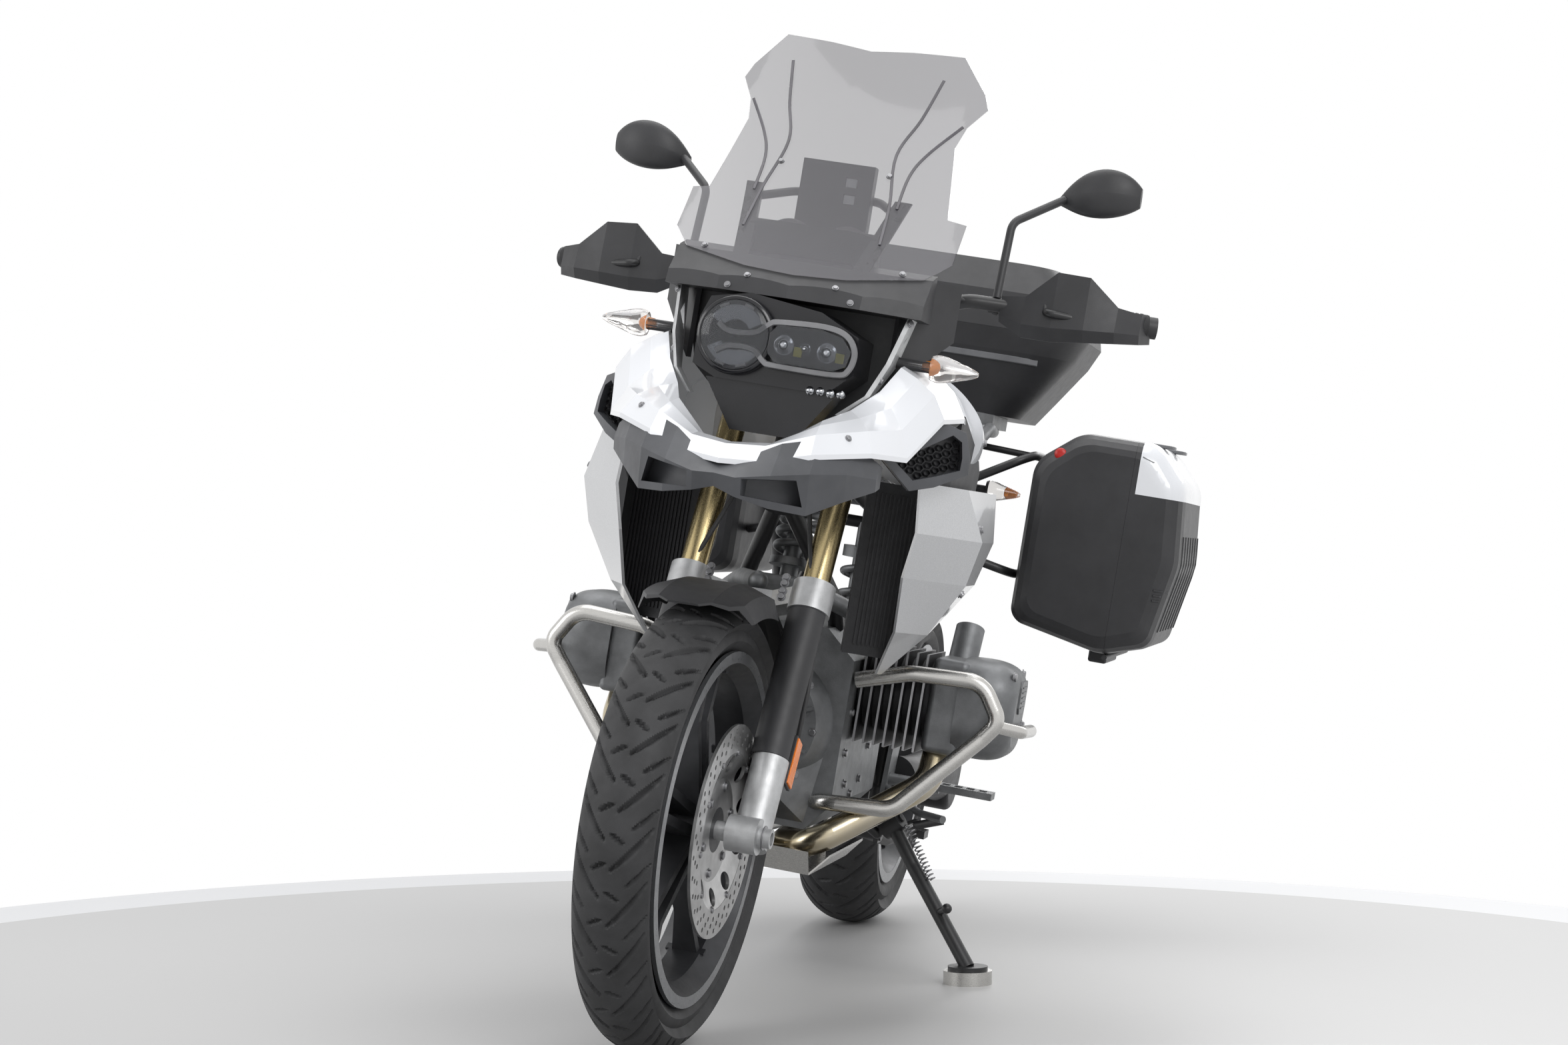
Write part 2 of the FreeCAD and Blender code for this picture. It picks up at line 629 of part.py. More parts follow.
def block_along(half, brace, height):
    """The bridge's cross member behind the wheel, arched back to the ball joint."""
    along = size("bridge_along") - height * 0.3
    forward = size("fork_offset")
    points = [fork_point(half, forward + brace * 0.6, along), fork_point(half, forward - brace, along),
              fork_point(half * 0.3, -brace * 1.3, along), fork_point(-half * 0.3, -brace * 1.3, along),
              fork_point(-half, forward - brace, along), fork_point(-half, forward + brace * 0.6, along),
              fork_point(-half * 0.4, forward * 0.4, along), fork_point(half * 0.4, forward * 0.4, along)]
    return prism(points, STEER_AXIS * height * 0.6)


def mudguard_arch(half, top, drop, wall, start, end):
    """An arched strip turned about the axle from one angle to another, measured back from the top."""
    outer = [vec(-half, 0, top - drop), vec(-half * 0.86, 0, top - drop * 0.3), vec(-half * 0.45, 0, top),
             vec(half * 0.45, 0, top), vec(half * 0.86, 0, top - drop * 0.3), vec(half, 0, top - drop)]
    inner = [vec(half - wall, 0, top - drop), vec(half * 0.84 - wall, 0, top - drop * 0.36 - wall * 0.6),
             vec(half * 0.43, 0, top - wall), vec(-half * 0.43, 0, top - wall),
             vec(-half * 0.84 + wall, 0, top - drop * 0.36 - wall * 0.6), vec(-half + wall, 0, top - drop)]
    face = Part.Face(outline(outer + inner))
    face.rotate(CENTRE, AXIS_X, -start)
    shell = face.revolve(CENTRE, AXIS_X, start - end)
    shell.translate(FRONT_AXLE)
    return shell


def make_front_mudguard():
    """A broad front lobe and a narrow rear strip between the fork legs."""
    top = size("front_tyre_radius") + size("mudguard_gap") + size("mudguard_wall")
    wall = size("mudguard_wall")
    lobe = mudguard_arch(size("mudguard_half_width"), top, size("mudguard_drop"), wall,
                         -size("mudguard_front_angle"), size("lobe_rear_angle"))
    strip = mudguard_arch(size("mudguard_waist"), top, size("mudguard_drop") * 0.5, wall,
                          size("lobe_rear_angle") * 0.5, size("mudguard_rear_angle"))
    nose = mudguard_nose_cut(top)
    shell = lobe.fuse(strip).cut(nose)
    legs = []
    half = size("fork_spacing") / 2
    reach = size("slider_radius") + size("fork_guard_gap")
    for side in SIDES:
        centre = fork_point(side * half, size("fork_offset"), size("slider_low_along") + size("casting_height"))
        start = centre + STEER_AXIS * size("seat_gap")
        pipe = Part.makeCylinder(reach + size("fork_guard_wall"), size("fork_guard_length") * 0.72, start, STEER_AXIS)
        pipe = pipe.cut(Part.makeCylinder(reach, size("fork_guard_length"), start, STEER_AXIS))
        keep = Part.makeBox(reach * 4, reach * 2, size("fork_guard_length") * 2,
                            vec(-reach * 2, -reach * 2.2, -size("fork_guard_length") * 0.5))
        keep.rotate(CENTRE, AXIS_X, -size("rake_angle"))
        keep.translate(start)
        legs.append(pipe.common(keep))
    solid = Part.makeCompound([shell] + legs).cut(at_home("fork_sliders"))
    return feature("front_mudguard", solid, STEERED)


def mudguard_nose_cut(top):
    """The wedge that gives the front lobe its rounded point."""
    half = size("mudguard_half_width")
    angle = math.radians(size("mudguard_front_angle"))
    tip = vec(0, -top * math.sin(angle), FRONT_AXLE.z)
    back = top * 0.2
    up = AXIS_Z * top * 2
    left = [tip + vec(half * 0.15, -back, 0), tip + vec(half * 0.25, 0, 0), tip + vec(half * 0.7, back * 0.35, 0),
            tip + vec(half * 1.2, back * 1.5, 0), tip + vec(half * 1.3, -back, 0)]
    wedge = prism(left, up)
    return Part.makeCompound([wedge, mirrored(wedge)])


def make_calipers():
    """Two radial calipers that straddle the discs behind the fork feet."""
    length = size("caliper_length")
    height = size("caliper_height")
    width = size("caliper_width")
    angle = math.radians(size("caliper_angle"))
    slot = size("caliper_slot")
    disc_x = size("disc_spacing") / 2
    radius = size("disc_radius") - height * 0.26
    outer = disc_x + width * 0.42
    inner = outer - width
    body = block(vec(inner, radius - height / 2, -length / 2), vec(outer, radius + height / 2, length / 2))
    body = softened(body, size("rim_wall"))
    channel = block(vec(disc_x - slot * 0.62, radius - height, -length),
                    vec(disc_x + slot * 0.38, size("disc_radius") + size("running_gap"), length))
    body = body.cut(channel)
    body.rotate(CENTRE, AXIS_X, math.degrees(angle))
    body.translate(FRONT_AXLE)
    leg = caliper_leg(outer)
    body = body.fuse(leg).cut(clear_of_slider())
    shapes = [body, mirrored(body)]
    return feature("brake_calipers", Part.makeCompound(shapes), STEERED)


def caliper_leg(outer):
    """The lug that bolts the caliper to the slider."""
    half = size("fork_spacing") / 2
    forward = size("fork_offset")
    along = size("slider_low_along") + size("casting_height") * 0.75
    start = fork_point(half + size("casting_shift"), forward - size("casting_radius") * 0.6, along)
    reach = size("disc_radius") - size("caliper_height") * 0.5
    angle = math.radians(size("caliper_angle"))
    end = FRONT_AXLE + vec(half, reach * math.cos(angle), reach * math.sin(angle))
    end = vec(outer - size("rim_wall") * 1.2, end.y, end.z)
    start = vec(end.x, start.y, start.z)
    return rod(start, end, size("rim_wall") * 1.1)


def clear_of_slider():
    half = size("fork_spacing") / 2 + size("casting_shift")
    low = fork_point(half, size("fork_offset"), size("slider_low_along") - size("casting_radius") * 2)
    high = fork_point(half, size("fork_offset"), size("bridge_along"))
    return rod(low, high, size("casting_radius") + size("pin_gap"))


make_fork_tubes()
make_fork_sliders()
make_front_mudguard()
make_calipers()

# Handlebar and what it carries


def bar_end(side):
    return bar_centre() + vec(side * size("bar_half_width"), size("bar_sweep"), size("bar_rise"))


def bar_knee(side):
    return bar_centre() + vec(side * size("bar_knee_half"), size("bar_sweep") * 0.12, size("bar_rise") * 1.05)


def make_handlebar():
    """A tapered bar with two grips, levers and their perches."""
    points = [bar_end(-1), bar_knee(-1), bar_centre() - AXIS_X * size("bar_clamp_half") * 1.6,
              bar_centre() + AXIS_X * size("bar_clamp_half") * 1.6, bar_knee(1), bar_end(1)]
    shapes = [tube(points, size("bar_radius"), size("bar_bend"))]
    for side in SIDES:
        run = (bar_end(side) - bar_knee(side)).normalize()
        tip = bar_end(side) + run * size("grip_radius") * 0.5
        shapes.append(rod(tip - run * size("grip_length"), tip, size("grip_radius")))
        perch = tip - run * (size("grip_length") + size("grip_radius") * 1.4)
        shapes.append(rod(perch - run * size("grip_radius"), perch + run * size("grip_radius") * 0.9,
                          size("grip_radius") * 1.25))
        start = perch + vec(0, -size("grip_radius") * 0.9, 0)
        lever = [start, start + vec(0, -size("grip_radius") * 2.2, -size("bar_radius") * 0.3),
                 tip + vec(-side * size("grip_radius") * 2, -size("grip_radius") * 3.2, -size("bar_radius"))]
        shapes.append(tube(lever, size("bar_radius") * 0.55, size("grip_radius")))
    return feature("handlebar", fused(shapes), STEERED)


def guard_sections(side):
    """Sections of a handguard from its inner edge round the tip to the bar's end."""
    length = size("handguard_length")
    height = size("handguard_height")
    bump = size("handguard_bump")
    depth = size("handguard_depth")
    wall = size("handguard_wall")
    tip = bar_end(side)
    rows = []
    for along, low, high, ahead in ((1.0, 0.30, 0.42, 0.94), (0.82, 0.56, 0.50, 1.0), (0.60, 0.58, 1.0, 1.04),
                                    (0.36, 0.52, 0.96, 1.02), (0.14, 0.46, 0.50, 0.88),
                                    (-0.02, 0.40, 0.38, 0.52), (-0.07, 0.34, 0.32, 0.0)):
        x = tip.x - side * along * length
        y = tip.y - ahead * depth
        bottom = tip.z - low * height
        top = tip.z + (high * height * 0.5 if high <= 0.5 else high * (bump + height * 0.1))
        swell = wall * (3.0 if 0.1 < along < 0.9 else 1.6)
        rows.append((vec(x, y, bottom), vec(x, y - swell, (bottom * 0.55 + tip.z * 0.45)), vec(x, y, top),
                     vec(x, y + wall, top), vec(x, y - swell + wall, (bottom * 0.55 + tip.z * 0.45)),
                     vec(x, y + wall, bottom)))
    return rows


def make_handguards():
    """Curved shields in front of the grips, with a raised hump."""
    shapes = []
    for side in SIDES:
        rows = guard_sections(side)
        shell = loft(rows, True)
        tip = bar_end(side)
        run = (tip - bar_knee(side)).normalize()
        cap_start = tip + run * (size("grip_radius") * 0.5 + size("pin_gap"))
        cap_end = cap_start + run * size("handguard_wall") * 3.4
        shapes.append(shell.fuse(rod(cap_start, cap_end, size("grip_radius"))))
    return feature("handguards", Part.makeCompound(shapes).cut(at_home("handlebar")), STEERED)


def make_mirrors():
    """Two teardrop heads on kinked stems that stand on the lever perches."""
    shapes = []
    for side in SIDES:
        centre = vec(side * size("mirror_x"), size("mirror_y"), size("mirror_z"))
        half = size("mirror_width") / 2
        tall = size("mirror_height") / 2
        deep = size("mirror_depth")
        sections = []
        for across, scale, rise in ((-1.0, 0.16, -0.42), (-0.72, 0.55, -0.22), (-0.25, 0.94, -0.04),
                                    (0.2, 1.0, 0.04), (0.62, 0.8, 0.06), (0.94, 0.4, 0.02)):
            x = centre.x + side * across * half
            loop = []
            for angle in ring_angles(10):
                y = centre.y - deep * (0.5 + 0.5 * math.cos(angle)) * scale + deep * 0.3
                z = centre.z + rise * tall + tall * scale * math.sin(angle)
                loop.append(vec(x, y, z))
            sections.append(smooth_loop(loop))
        head = smooth_body(sections)
        neck = centre + vec(-side * half * 0.86, 0, -tall * 0.36)
        run = bar_end(side) - bar_knee(side)
        base = bar_knee(side) + run * ((size("mirror_root_x") - size("bar_knee_half")) / abs(run.x))
        elbow = vec(base.x, base.y + tall, neck.z - tall * 1.3)
        foot = base + AXIS_Z * (size("bar_radius") - size("mirror_stem_radius") * 0.2)
        stem = tube([foot, elbow, neck], size("mirror_stem_radius"), size("mirror_stem_bend"))
        shapes.append(head.fuse(stem))
    return feature("mirrors", Part.makeCompound(shapes).cut(at_home("handlebar")), STEERED)


make_handlebar()
make_handguards()
make_mirrors()

# Engine


def make_engine_case():
    """One plain block for the crank and gearbox, with a round ribbed cover at its front."""
    half = size("engine_half_width")
    front = size("engine_front_y")
    rear = size("engine_rear_y")
    low = size("engine_low_z")
    top = size("engine_top_z")
    crank = size("crank_z")
    chamfer = half * 0.34
    section = [vec(-half * 0.72, front, low), vec(half * 0.72, front, low), vec(half, front, low + chamfer),
               vec(half, front, top - chamfer), vec(half * 0.62, front, top), vec(-half * 0.62, front, top),
               vec(-half, front, top - chamfer), vec(-half, front, low + chamfer)]
    case = prism(section, AXIS_Y * (rear - front))
    gearbox_half = half * 0.74
    gearbox = block(vec(-gearbox_half, rear - size("overrun"), low + chamfer),
                    vec(gearbox_half, size("gearbox_rear_y"), top - chamfer * 0.6))
    depth = size("cover_depth")
    radius = size("cover_radius")
    cover = Part.makeCone(radius, radius * 0.82, depth, vec(0, front, crank), -AXIS_Y)
    boss = Part.makeCylinder(radius * 0.32, depth * 0.3, vec(0, front - depth, crank), -AXIS_Y)
    chin = loft([[vec(-half * 0.7, front, low + size("overrun")), vec(half * 0.7, front, low + size("overrun")),
                  vec(half * 0.86, front, crank), vec(-half * 0.86, front, crank)],
                 [vec(-half * 0.42, front - depth, low + chamfer), vec(half * 0.42, front - depth, low + chamfer),
                  vec(half * 0.6, front - depth, crank), vec(-half * 0.6, front - depth, crank)]])
    shapes = [case, gearbox, cover, boss, chin]
    rib = size("cover_wall") * 0.45
    rib_count = int(size("cover_rib_count"))
    for index in range(rib_count):
        spoke = Part.makeBox(rib, depth * 0.3, radius * 0.5, vec(-rib / 2, front - depth * 1.12, radius * 0.3))
        spoke.rotate(CENTRE, AXIS_Y, 360 / rib_count * (index + 0.5))
        spoke.translate(AXIS_Z * crank)
        shapes.append(spoke)
    return feature("engine_case", fused(shapes))


def cylinder_centre(side):
    return vec(0, size("cylinder_y") - side * size("cylinder_stagger") / 2, size("cylinder_z"))


def make_cylinders():
    """Finned barrels on both sides of the crankcase, the left one a little ahead."""
    shapes = []
    inner = size("engine_half_width") + size("pin_gap")
    length = size("barrel_length")
    count = int(size("fin_count"))
    pitch_x = length / count
    for side in SIDES:
        centre = cylinder_centre(side)
        core = Part.makeCylinder(size("barrel_radius"), length, centre + AXIS_X * side * inner, AXIS_X * side)
        parts = [core]
        half = size("barrel_radius") + size("fin_reach")
        for index in range(count):
            x = inner + pitch_x * (index + 0.5)
            fin = block(vec(x - size("fin_thickness") / 2, centre.y - half, centre.z - half),
                        vec(x + size("fin_thickness") / 2, centre.y + half, centre.z + half * 0.9))
            parts.append(fin if side > 0 else mirrored(fin))
        shapes.append(fused(parts))
    return feature("cylinders", Part.makeCompound(shapes))


def make_cylinder_heads():
    """Cylinder heads with rounded two-part covers."""
    shapes = []
    inner = size("engine_half_width") + size("barrel_length") + 2 * size("pin_gap")
    length = size("head_length")
    for side in SIDES:
        centre = cylinder_centre(side)
        half_y = size("head_width") / 2
        half_z = size("head_height") / 2
        head = block(vec(inner, centre.y - half_y * 0.86, centre.z - half_z),
                     vec(inner + length * 0.62, centre.y + half_y * 0.86, centre.z + half_z * 0.92))
        head = softened(head, size("cover_round") * 0.4)
        cover_start = inner + length * 0.5
        rows = []
        for share, grow in ((0.0, 1.0), (0.5, 1.02), (0.86, 0.9), (1.0, 0.68)):
            x = cover_start + (length * 0.5 + size("cover_length")) * share
            loop = []
            for angle in ring_angles(12):
                y = math.copysign(abs(math.cos(angle)) ** 0.6, math.cos(angle)) * half_y * grow
                z = math.copysign(abs(math.sin(angle)) ** 0.6, math.sin(angle)) * half_z * grow * 0.98
                loop.append(vec(x, centre.y + y, centre.z + z))
            rows.append(smooth_loop(loop))
        cover = smooth_body(rows)
        throttle = tube([vec(inner + length * 0.3, centre.y + half_y * 0.5, centre.z + half_z * 0.7),
                         vec(inner + length * 0.3, centre.y + half_y * 0.9, centre.z + half_z * 1.5)],
                        size("cover_round") * 0.9, size("cover_round"))
        solid = fused([head, cover, throttle])
        shapes.append(solid if side > 0 else mirrored(solid))
    return feature("cylinder_heads", Part.makeCompound(shapes))


def head_underside(side):
    centre = cylinder_centre(side)
    x = size("engine_half_width") + size("barrel_length") + size("head_length") * 0.25
    return vec(side * x, centre.y, centre.z - size("head_height") / 2)


def make_exhaust():
    """Two header pipes that join under the engine and one silencer on the right."""
    radius = size("header_radius")
    low = size("skid_low_z") + size("skid_thickness") + radius + size("running_gap")
    shapes = []
    front_dip_y = size("engine_front_y") - radius - size("seat_gap")
    for side in SIDES:
        top = head_underside(side) + vec(0, -size("head_width") * 0.22, -size("pin_gap"))
        points = [top, top + vec(0, -radius * 1.4, -radius * 2.2),
                  vec(side * size("engine_half_width") * 0.84, front_dip_y, low + radius * 0.6),
                  vec(side * size("engine_half_width") * 0.42, size("engine_front_y") + radius * 2.4, low),
                  vec(side * radius * 1.25, size("engine_rear_y"), low),
                  vec(-size("silencer_x") * (0.38 - side * 0.05), size("centre_pivot_y") + radius * (1.4 - side * 0.4),
                      low + radius * 1.25)]
        shapes.append(tube(points, radius, size("header_bend")))
    start = vec(-size("silencer_x"), size("silencer_y"), size("silencer_z"))
    length = size("silencer_length")
    direction = vec(0, length, size("silencer_rise")).normalize()
    end = start + direction * length
    link = [vec(-size("silencer_x") * 0.38, size("centre_pivot_y") + radius * 1.2, low + radius * 1.25),
            vec(-size("silencer_x") * 0.74, size("silencer_y") - radius * 5, low + radius * 2),
            vec(-size("silencer_x"), size("silencer_y") - radius * 3, size("silencer_z") - radius * 3.4),
            start + direction * radius]
    shapes.append(tube(link, radius, size("header_bend")))
    can = size("silencer_radius")
    shapes.append(Part.makeCone(radius * 1.15, can, can, start, direction))
    shapes.append(rod(start + direction * can, end - direction * can * 0.4, can))
    shapes.append(Part.makeCone(can, can * 0.82, can * 0.4, end - direction * can * 0.4, direction))
    solid = fused(shapes)
    bore = rod(end - direction * size("silencer_bore_depth"), end + direction * size("overrun"), size("silencer_bore"))
    for name in ("cylinder_heads", "engine_case"):
        solid = solid.cut(at_home(name))
    return feature("exhaust", solid.cut(bore))


make_engine_case()
make_cylinders()
make_cylinder_heads()
make_exhaust()

# Engine guards and skid plate


def make_engine_guards():
    """Bent steel bars round the cylinders, with a rear brace each."""
    radius = size("guard_radius")
    half = size("engine_half_width")
    y = size("guard_y") - radius * 1.2
    reach = size("guard_reach")
    top = size("guard_top_z")
    low = size("guard_low_z")
    shapes = []
    for side in SIDES:
        loop = [vec(half + radius * 0.4, y, top - radius * 1.6), vec(half * 1.7, y - radius * 0.4, top + radius * 0.4),
                vec(reach - radius * 2.4, y, top + radius * 0.8), vec(reach + radius * 0.4, y, top - radius * 3.6),
                vec(reach - radius * 1.4, y, top - radius * 6), vec(half * 1.75, y - radius * 2.2, low),
                vec(half * 0.95, y - radius * 2.4, low - radius * 0.5),
                vec(half * 0.75, size("engine_front_y") + radius, low - radius)]
        bar = tube(loop, radius, size("guard_bend"))
        brace = tube([vec(reach, y, top - radius * 4.2), vec(reach + radius * 2.8, y + radius * 3, top - radius * 4.6),
                      vec(reach + radius * 2.8, size("guard_rear_y"), top - radius * 5)], radius * 0.8, radius * 2)
        solid = bar.fuse(brace).cut(at_home("engine_case"))
        shapes.append(solid if side > 0 else mirrored(solid))
    return feature("engine_guards", Part.makeCompound(shapes))


SKID_POST_SHARES = (0.45, 0.9)


def make_skid_plate():
    """A folded plate under the sump, open at its back, hung from the engine on four posts."""
    half = size("skid_half_width")
    wall = size("skid_thickness")
    low = size("skid_low_z")
    front = size("skid_front_y")
    rear = size("skid_rear_y")
    rise = size("skid_rise")
    floor_front = front + rise * 0.9
    profile = [vec(-half, front, low + rise), vec(-half, floor_front, low), vec(-half, rear, low),
               vec(-half, rear, low + wall), vec(-half, floor_front + wall * 0.5, low + wall),
               vec(-half, front + wall, low + rise)]
    plate = prism(profile, AXIS_X * half * 2)
    shapes = [plate]
    for side in SIDES:
        edge = side * half
        flare = side * size("skid_side") * 0.5
        wing = [vec(edge, floor_front, low), vec(edge, rear, low),
                vec(edge + flare, rear - rise * 0.4, low + size("skid_side") * 0.6),
                vec(edge + flare, floor_front + rise * 0.3, low + size("skid_side") * 0.6)]
        shapes.append(prism(wing, AXIS_Z * wall))
        for share in SKID_POST_SHARES:
            foot = vec(side * size("engine_half_width") * 0.66, front + (rear - front) * share, low)
            head = vec(foot.x, foot.y, size("engine_low_z") - size("seat_gap"))
            shapes.append(rod(foot, head, size("rim_wall")))
    return feature("skid_plate", fused(shapes))


make_engine_guards()
make_skid_plate()

# Windscreen and cockpit


def steering_room(reach):
    """The space that the fork tubes and their yoke sweep, with that reach beyond the tubes' centres."""
    low = fork_point(0, 0, size("bridge_along"))
    high = fork_point(0, 0, size("fork_top_along") * 1.5)
    return rod(low, high, size("fork_spacing") / 2 + reach)


def screen_centre_y(share):
    """Depth of the screen's middle line: steep low down, flatter towards the top."""
    return size("screen_low_y") + size("screen_lean") * (1.35 * share - 0.35 * share * share)


def screen_slab(front_shift, thickness, spread, shares=(-0.06, 0.2, 0.45, 0.7, 1.04)):
    """A curved sheet: arcs in plan, stacked along the screen's middle line."""
    half = size("screen_half_width") * spread
    curve = size("screen_curve") * spread * spread
    wires = []
    for share in shares:
        z = size("screen_low_z") + size("screen_height") * share
        y = screen_centre_y(share) + front_shift
        near = [vec(-half, y + curve, z), vec(0, y, z), vec(half, y + curve, z)]
        far = [vec(half, y + curve + thickness, z), vec(0, y + thickness, z), vec(-half, y + curve + thickness, z)]
        edges = [Part.Arc(*near).toShape(), Part.LineSegment(near[2], far[0]).toShape(),
                 Part.Arc(*far).toShape(), Part.LineSegment(far[2], near[0]).toShape()]
        wires.append(Part.Wire(edges))
    return skinned(wires)


SCREEN_OUTLINE_SHARES = (
    (0.0, 0.0), (0.36, 0.012), (0.84, 0.062), (0.985, 0.14), (0.99, 0.31), (0.86, 0.318), (0.76, 0.62),
    (0.80, 0.71), (0.905, 0.80), (0.86, 0.86), (0.66, 1.0), (0.30, 0.985), (0.0, 0.965))


def screen_profile(y):
    half = size("screen_half_width")
    right = [vec(x * half, y, size("screen_low_z") + z * size("screen_height")) for x, z in SCREEN_OUTLINE_SHARES]
    left = [vec(-point.x, point.y, point.z) for point in reversed(right[1:-1])]
    return right + left


def make_windscreen():
    """A tall smoked touring screen with shoulders, a waist and two ears."""
    reach = size("screen_lean") * 2
    sheet_body = screen_slab(0, size("screen_thickness"), 1.1)
    blank = prism(screen_profile(size("screen_low_y") - reach), AXIS_Y * reach * 3)
    return feature("windscreen", sheet_body.common(blank))


def make_screen_supports():
    """Two blades behind the screen, a cross tube and a device holder."""
    low = size("screen_low_z")
    tall = size("screen_height")
    half = size("screen_half_width")
    gap = size("screen_thickness") + size("seat_gap")
    shapes = []
    for side in SIDES:
        rows = []
        for share in (0.05, 0.2, 0.36):
            z = low + tall * share
            x = side * half * (0.40 + 0.38 * share)
            y = screen_centre_y(share) + gap + size("screen_curve") * (x / half) ** 2
            wide = half * 0.058
            deep = size("holder_thickness") * 0.5
            rows.append([vec(x - wide, y, z), vec(x + wide, y, z), vec(x + wide, y + deep, z),
                         vec(x - wide, y + deep, z)])
        shapes.append(loft(rows, True))
    z = low + tall * 0.30
    y = screen_centre_y(0.30) + gap + size("screen_curve") * 0.27 + size("holder_thickness") * 0.5
    cross = tube([vec(-half * 0.52, y, z), vec(-half * 0.3, y + half * 0.4, z + half * 0.12),
                  vec(half * 0.3, y + half * 0.4, z + half * 0.12), vec(half * 0.52, y, z)],
                 size("mirror_stem_radius"), size("mirror_stem_bend"))
    shapes.append(cross)
    wide = size("holder_width")
    plate_y = y + half * 0.4 - size("mirror_stem_radius") - size("holder_thickness")
    plate = block(vec(-wide / 2, plate_y, z - size("holder_height") * 0.3),
                  vec(wide / 2, plate_y + size("holder_thickness"), z + size("holder_height") * 0.7))
    window = size("holder_height") * 0.14
    for rise in (0.12, 0.36):
        start = z + size("holder_height") * rise
        plate = plate.cut(block(vec(wide * 0.12, plate_y - window, start),
                                vec(wide * 0.28, plate_y + size("holder_thickness") + window, start + window)))
    shapes.append(plate)
    return feature("screen_supports", fused(shapes).cut(at_home("windscreen")).cut(at_home("cockpit")))


def make_cockpit():
    """The dark recess round the lamp: a back plate, a cap over the lamp, two cheeks and the dash."""
    half = size("screen_half_width")
    lamp_top = size("lamp_z") + size("lamp_height") / 2
    lamp_low = size("lamp_z") - size("lamp_height") / 2
    tall = size("lamp_height")
    front = size("lamp_y")
    deep = size("lamp_depth")
    back = front + deep + size("seat_gap")
    wall = size("cowl_wall")
    ceiling = size("screen_low_z") + wall
    plate = [vec(-half * 0.68, back, lamp_low + tall * 0.14), vec(-half * 0.3, back, lamp_low - tall * 0.44),
             vec(half * 0.3, back, lamp_low - tall * 0.44), vec(half * 0.68, back, lamp_low + tall * 0.14),
             vec(half * 0.80, back, lamp_top), vec(half * 0.80, back, ceiling),
             vec(-half * 0.80, back, ceiling), vec(-half * 0.80, back, lamp_top)]
    shapes = [prism(plate, AXIS_Y * wall)]
    rows = []
    for share in (-0.9, -0.5, 0.0, 0.5, 0.9):
        x = half * share
        bow = size("screen_curve") * share * share
        rows.append([vec(x, front + deep * 0.10 + bow, lamp_top + size("seat_gap")),
                     vec(x, front + deep * 0.26 + bow, ceiling), vec(x, back + wall, ceiling + wall),
                     vec(x, back + wall, lamp_top + size("seat_gap"))])
    shapes.append(loft(rows, True))
    for side in SIDES:
        inner = vec(side * half * 0.72, back - deep * 0.2, 0)
        outer = vec(side * half * 1.04, back + deep * 0.62, 0)
        cheek = [inner + AXIS_Z * (lamp_low + tall * 0.2), outer + AXIS_Z * (lamp_low + tall * 0.86),
                 outer + AXIS_Z * (lamp_top + tall * 0.52), inner + AXIS_Z * (lamp_top + tall * 0.46)]
        run = (outer - inner).normalize()
        shapes.append(prism(cheek, vec(-side * abs(run.y), abs(run.x), 0) * size("panel_wall")))
    dash = block(vec(-half * 0.45, back, ceiling), vec(half * 0.45, back + deep * 0.4, ceiling + tall * 0.5))
    solid = fused(shapes + [dash])
    shift = size("screen_lean")
    solid = solid.cut(screen_slab(-shift, shift + size("screen_thickness") + size("seat_gap"), 1.1))
    solid = solid.cut(steering_room(size("stanchion_radius") + size("overrun")))
    return feature("cockpit", solid.cut(at_home("nose_panel")))


make_windscreen()

# Headlamp, its struts and the nose


def make_headlamp():
    """One housing with a round unit on the right, a narrow unit on the left and a skirt below."""
    half = size("lamp_half_width")
    y = size("lamp_y")
    z = size("lamp_z")
    tall = size("lamp_height") / 2
    deep = size("lamp_depth")
    face = [vec(-half, y + deep * 0.16, z - tall * 0.75), vec(-half * 0.7, y, z - tall), vec(half * 0.7, y, z - tall),
            vec(half, y + deep * 0.16, z - tall * 0.5), vec(half, y + deep * 0.3, z + tall * 0.35),
            vec(half * 0.5, y + deep * 0.34, z + tall * 0.8), vec(-half * 0.4, y + deep * 0.36, z + tall),
            vec(-half * 0.9, y + deep * 0.34, z + tall * 0.8), vec(-half, y + deep * 0.3, z + tall * 0.3)]
    flat = [vec(point.x, y, point.z) for point in face]
    housing = prism(flat, AXIS_Y * deep)
    round_unit = Part.makeCylinder(size("lens_radius"), deep * 0.2, vec(-size("lens_x"), y - deep * 0.12, z), AXIS_Y)
    round_unit = softened_ring(round_unit)
    led = block(vec(size("lens_x") - size("led_length") / 2, y - deep * 0.1, z - size("led_height") / 2),
                vec(size("lens_x") + size("led_length") / 2, y + deep * 0.1, z + size("led_height") / 2))
    led = led.makeFillet(size("led_height") * 0.3, [edge for edge in led.Edges if along_axis(edge, AXIS_Y)])
    skirt_low = z - tall * 2.1
    skirt = [vec(-half * 0.82, y + deep * 0.05, z - tall), vec(half * 0.82, y + deep * 0.05, z - tall),
             vec(half * 0.42, y + deep * 0.05, skirt_low), vec(-half * 0.42, y + deep * 0.05, skirt_low)]
    skirt_body = prism(skirt, AXIS_Y * deep * 0.5)
    solid = fused([housing, round_unit, led, skirt_body])
    return feature("headlamp", solid)


def along_axis(edge, axis):
    run = edge.Vertexes[-1].Point - edge.Vertexes[0].Point
    return run.Length > 0 and abs(run.normalize().dot(axis)) > 0.99


def softened_ring(cylinder):
    return cylinder.makeChamfer(size("rim_wall"), [edge for edge in cylinder.Edges if edge.Closed][:1])


STRUT_SHARES = (
    # across, back and rise of the front edge, then the breadth
    (1.06, 0.62, 1.14, 1.7), (0.97, 0.22, -0.1, 2.2), (0.86, 0.0, -0.9, 1.1), (0.66, -0.24, -1.42, 0.9))
STRUT_WINDOW_SHARES = ((0.50, 0.40), (0.72, 0.62), (0.66, -0.02))


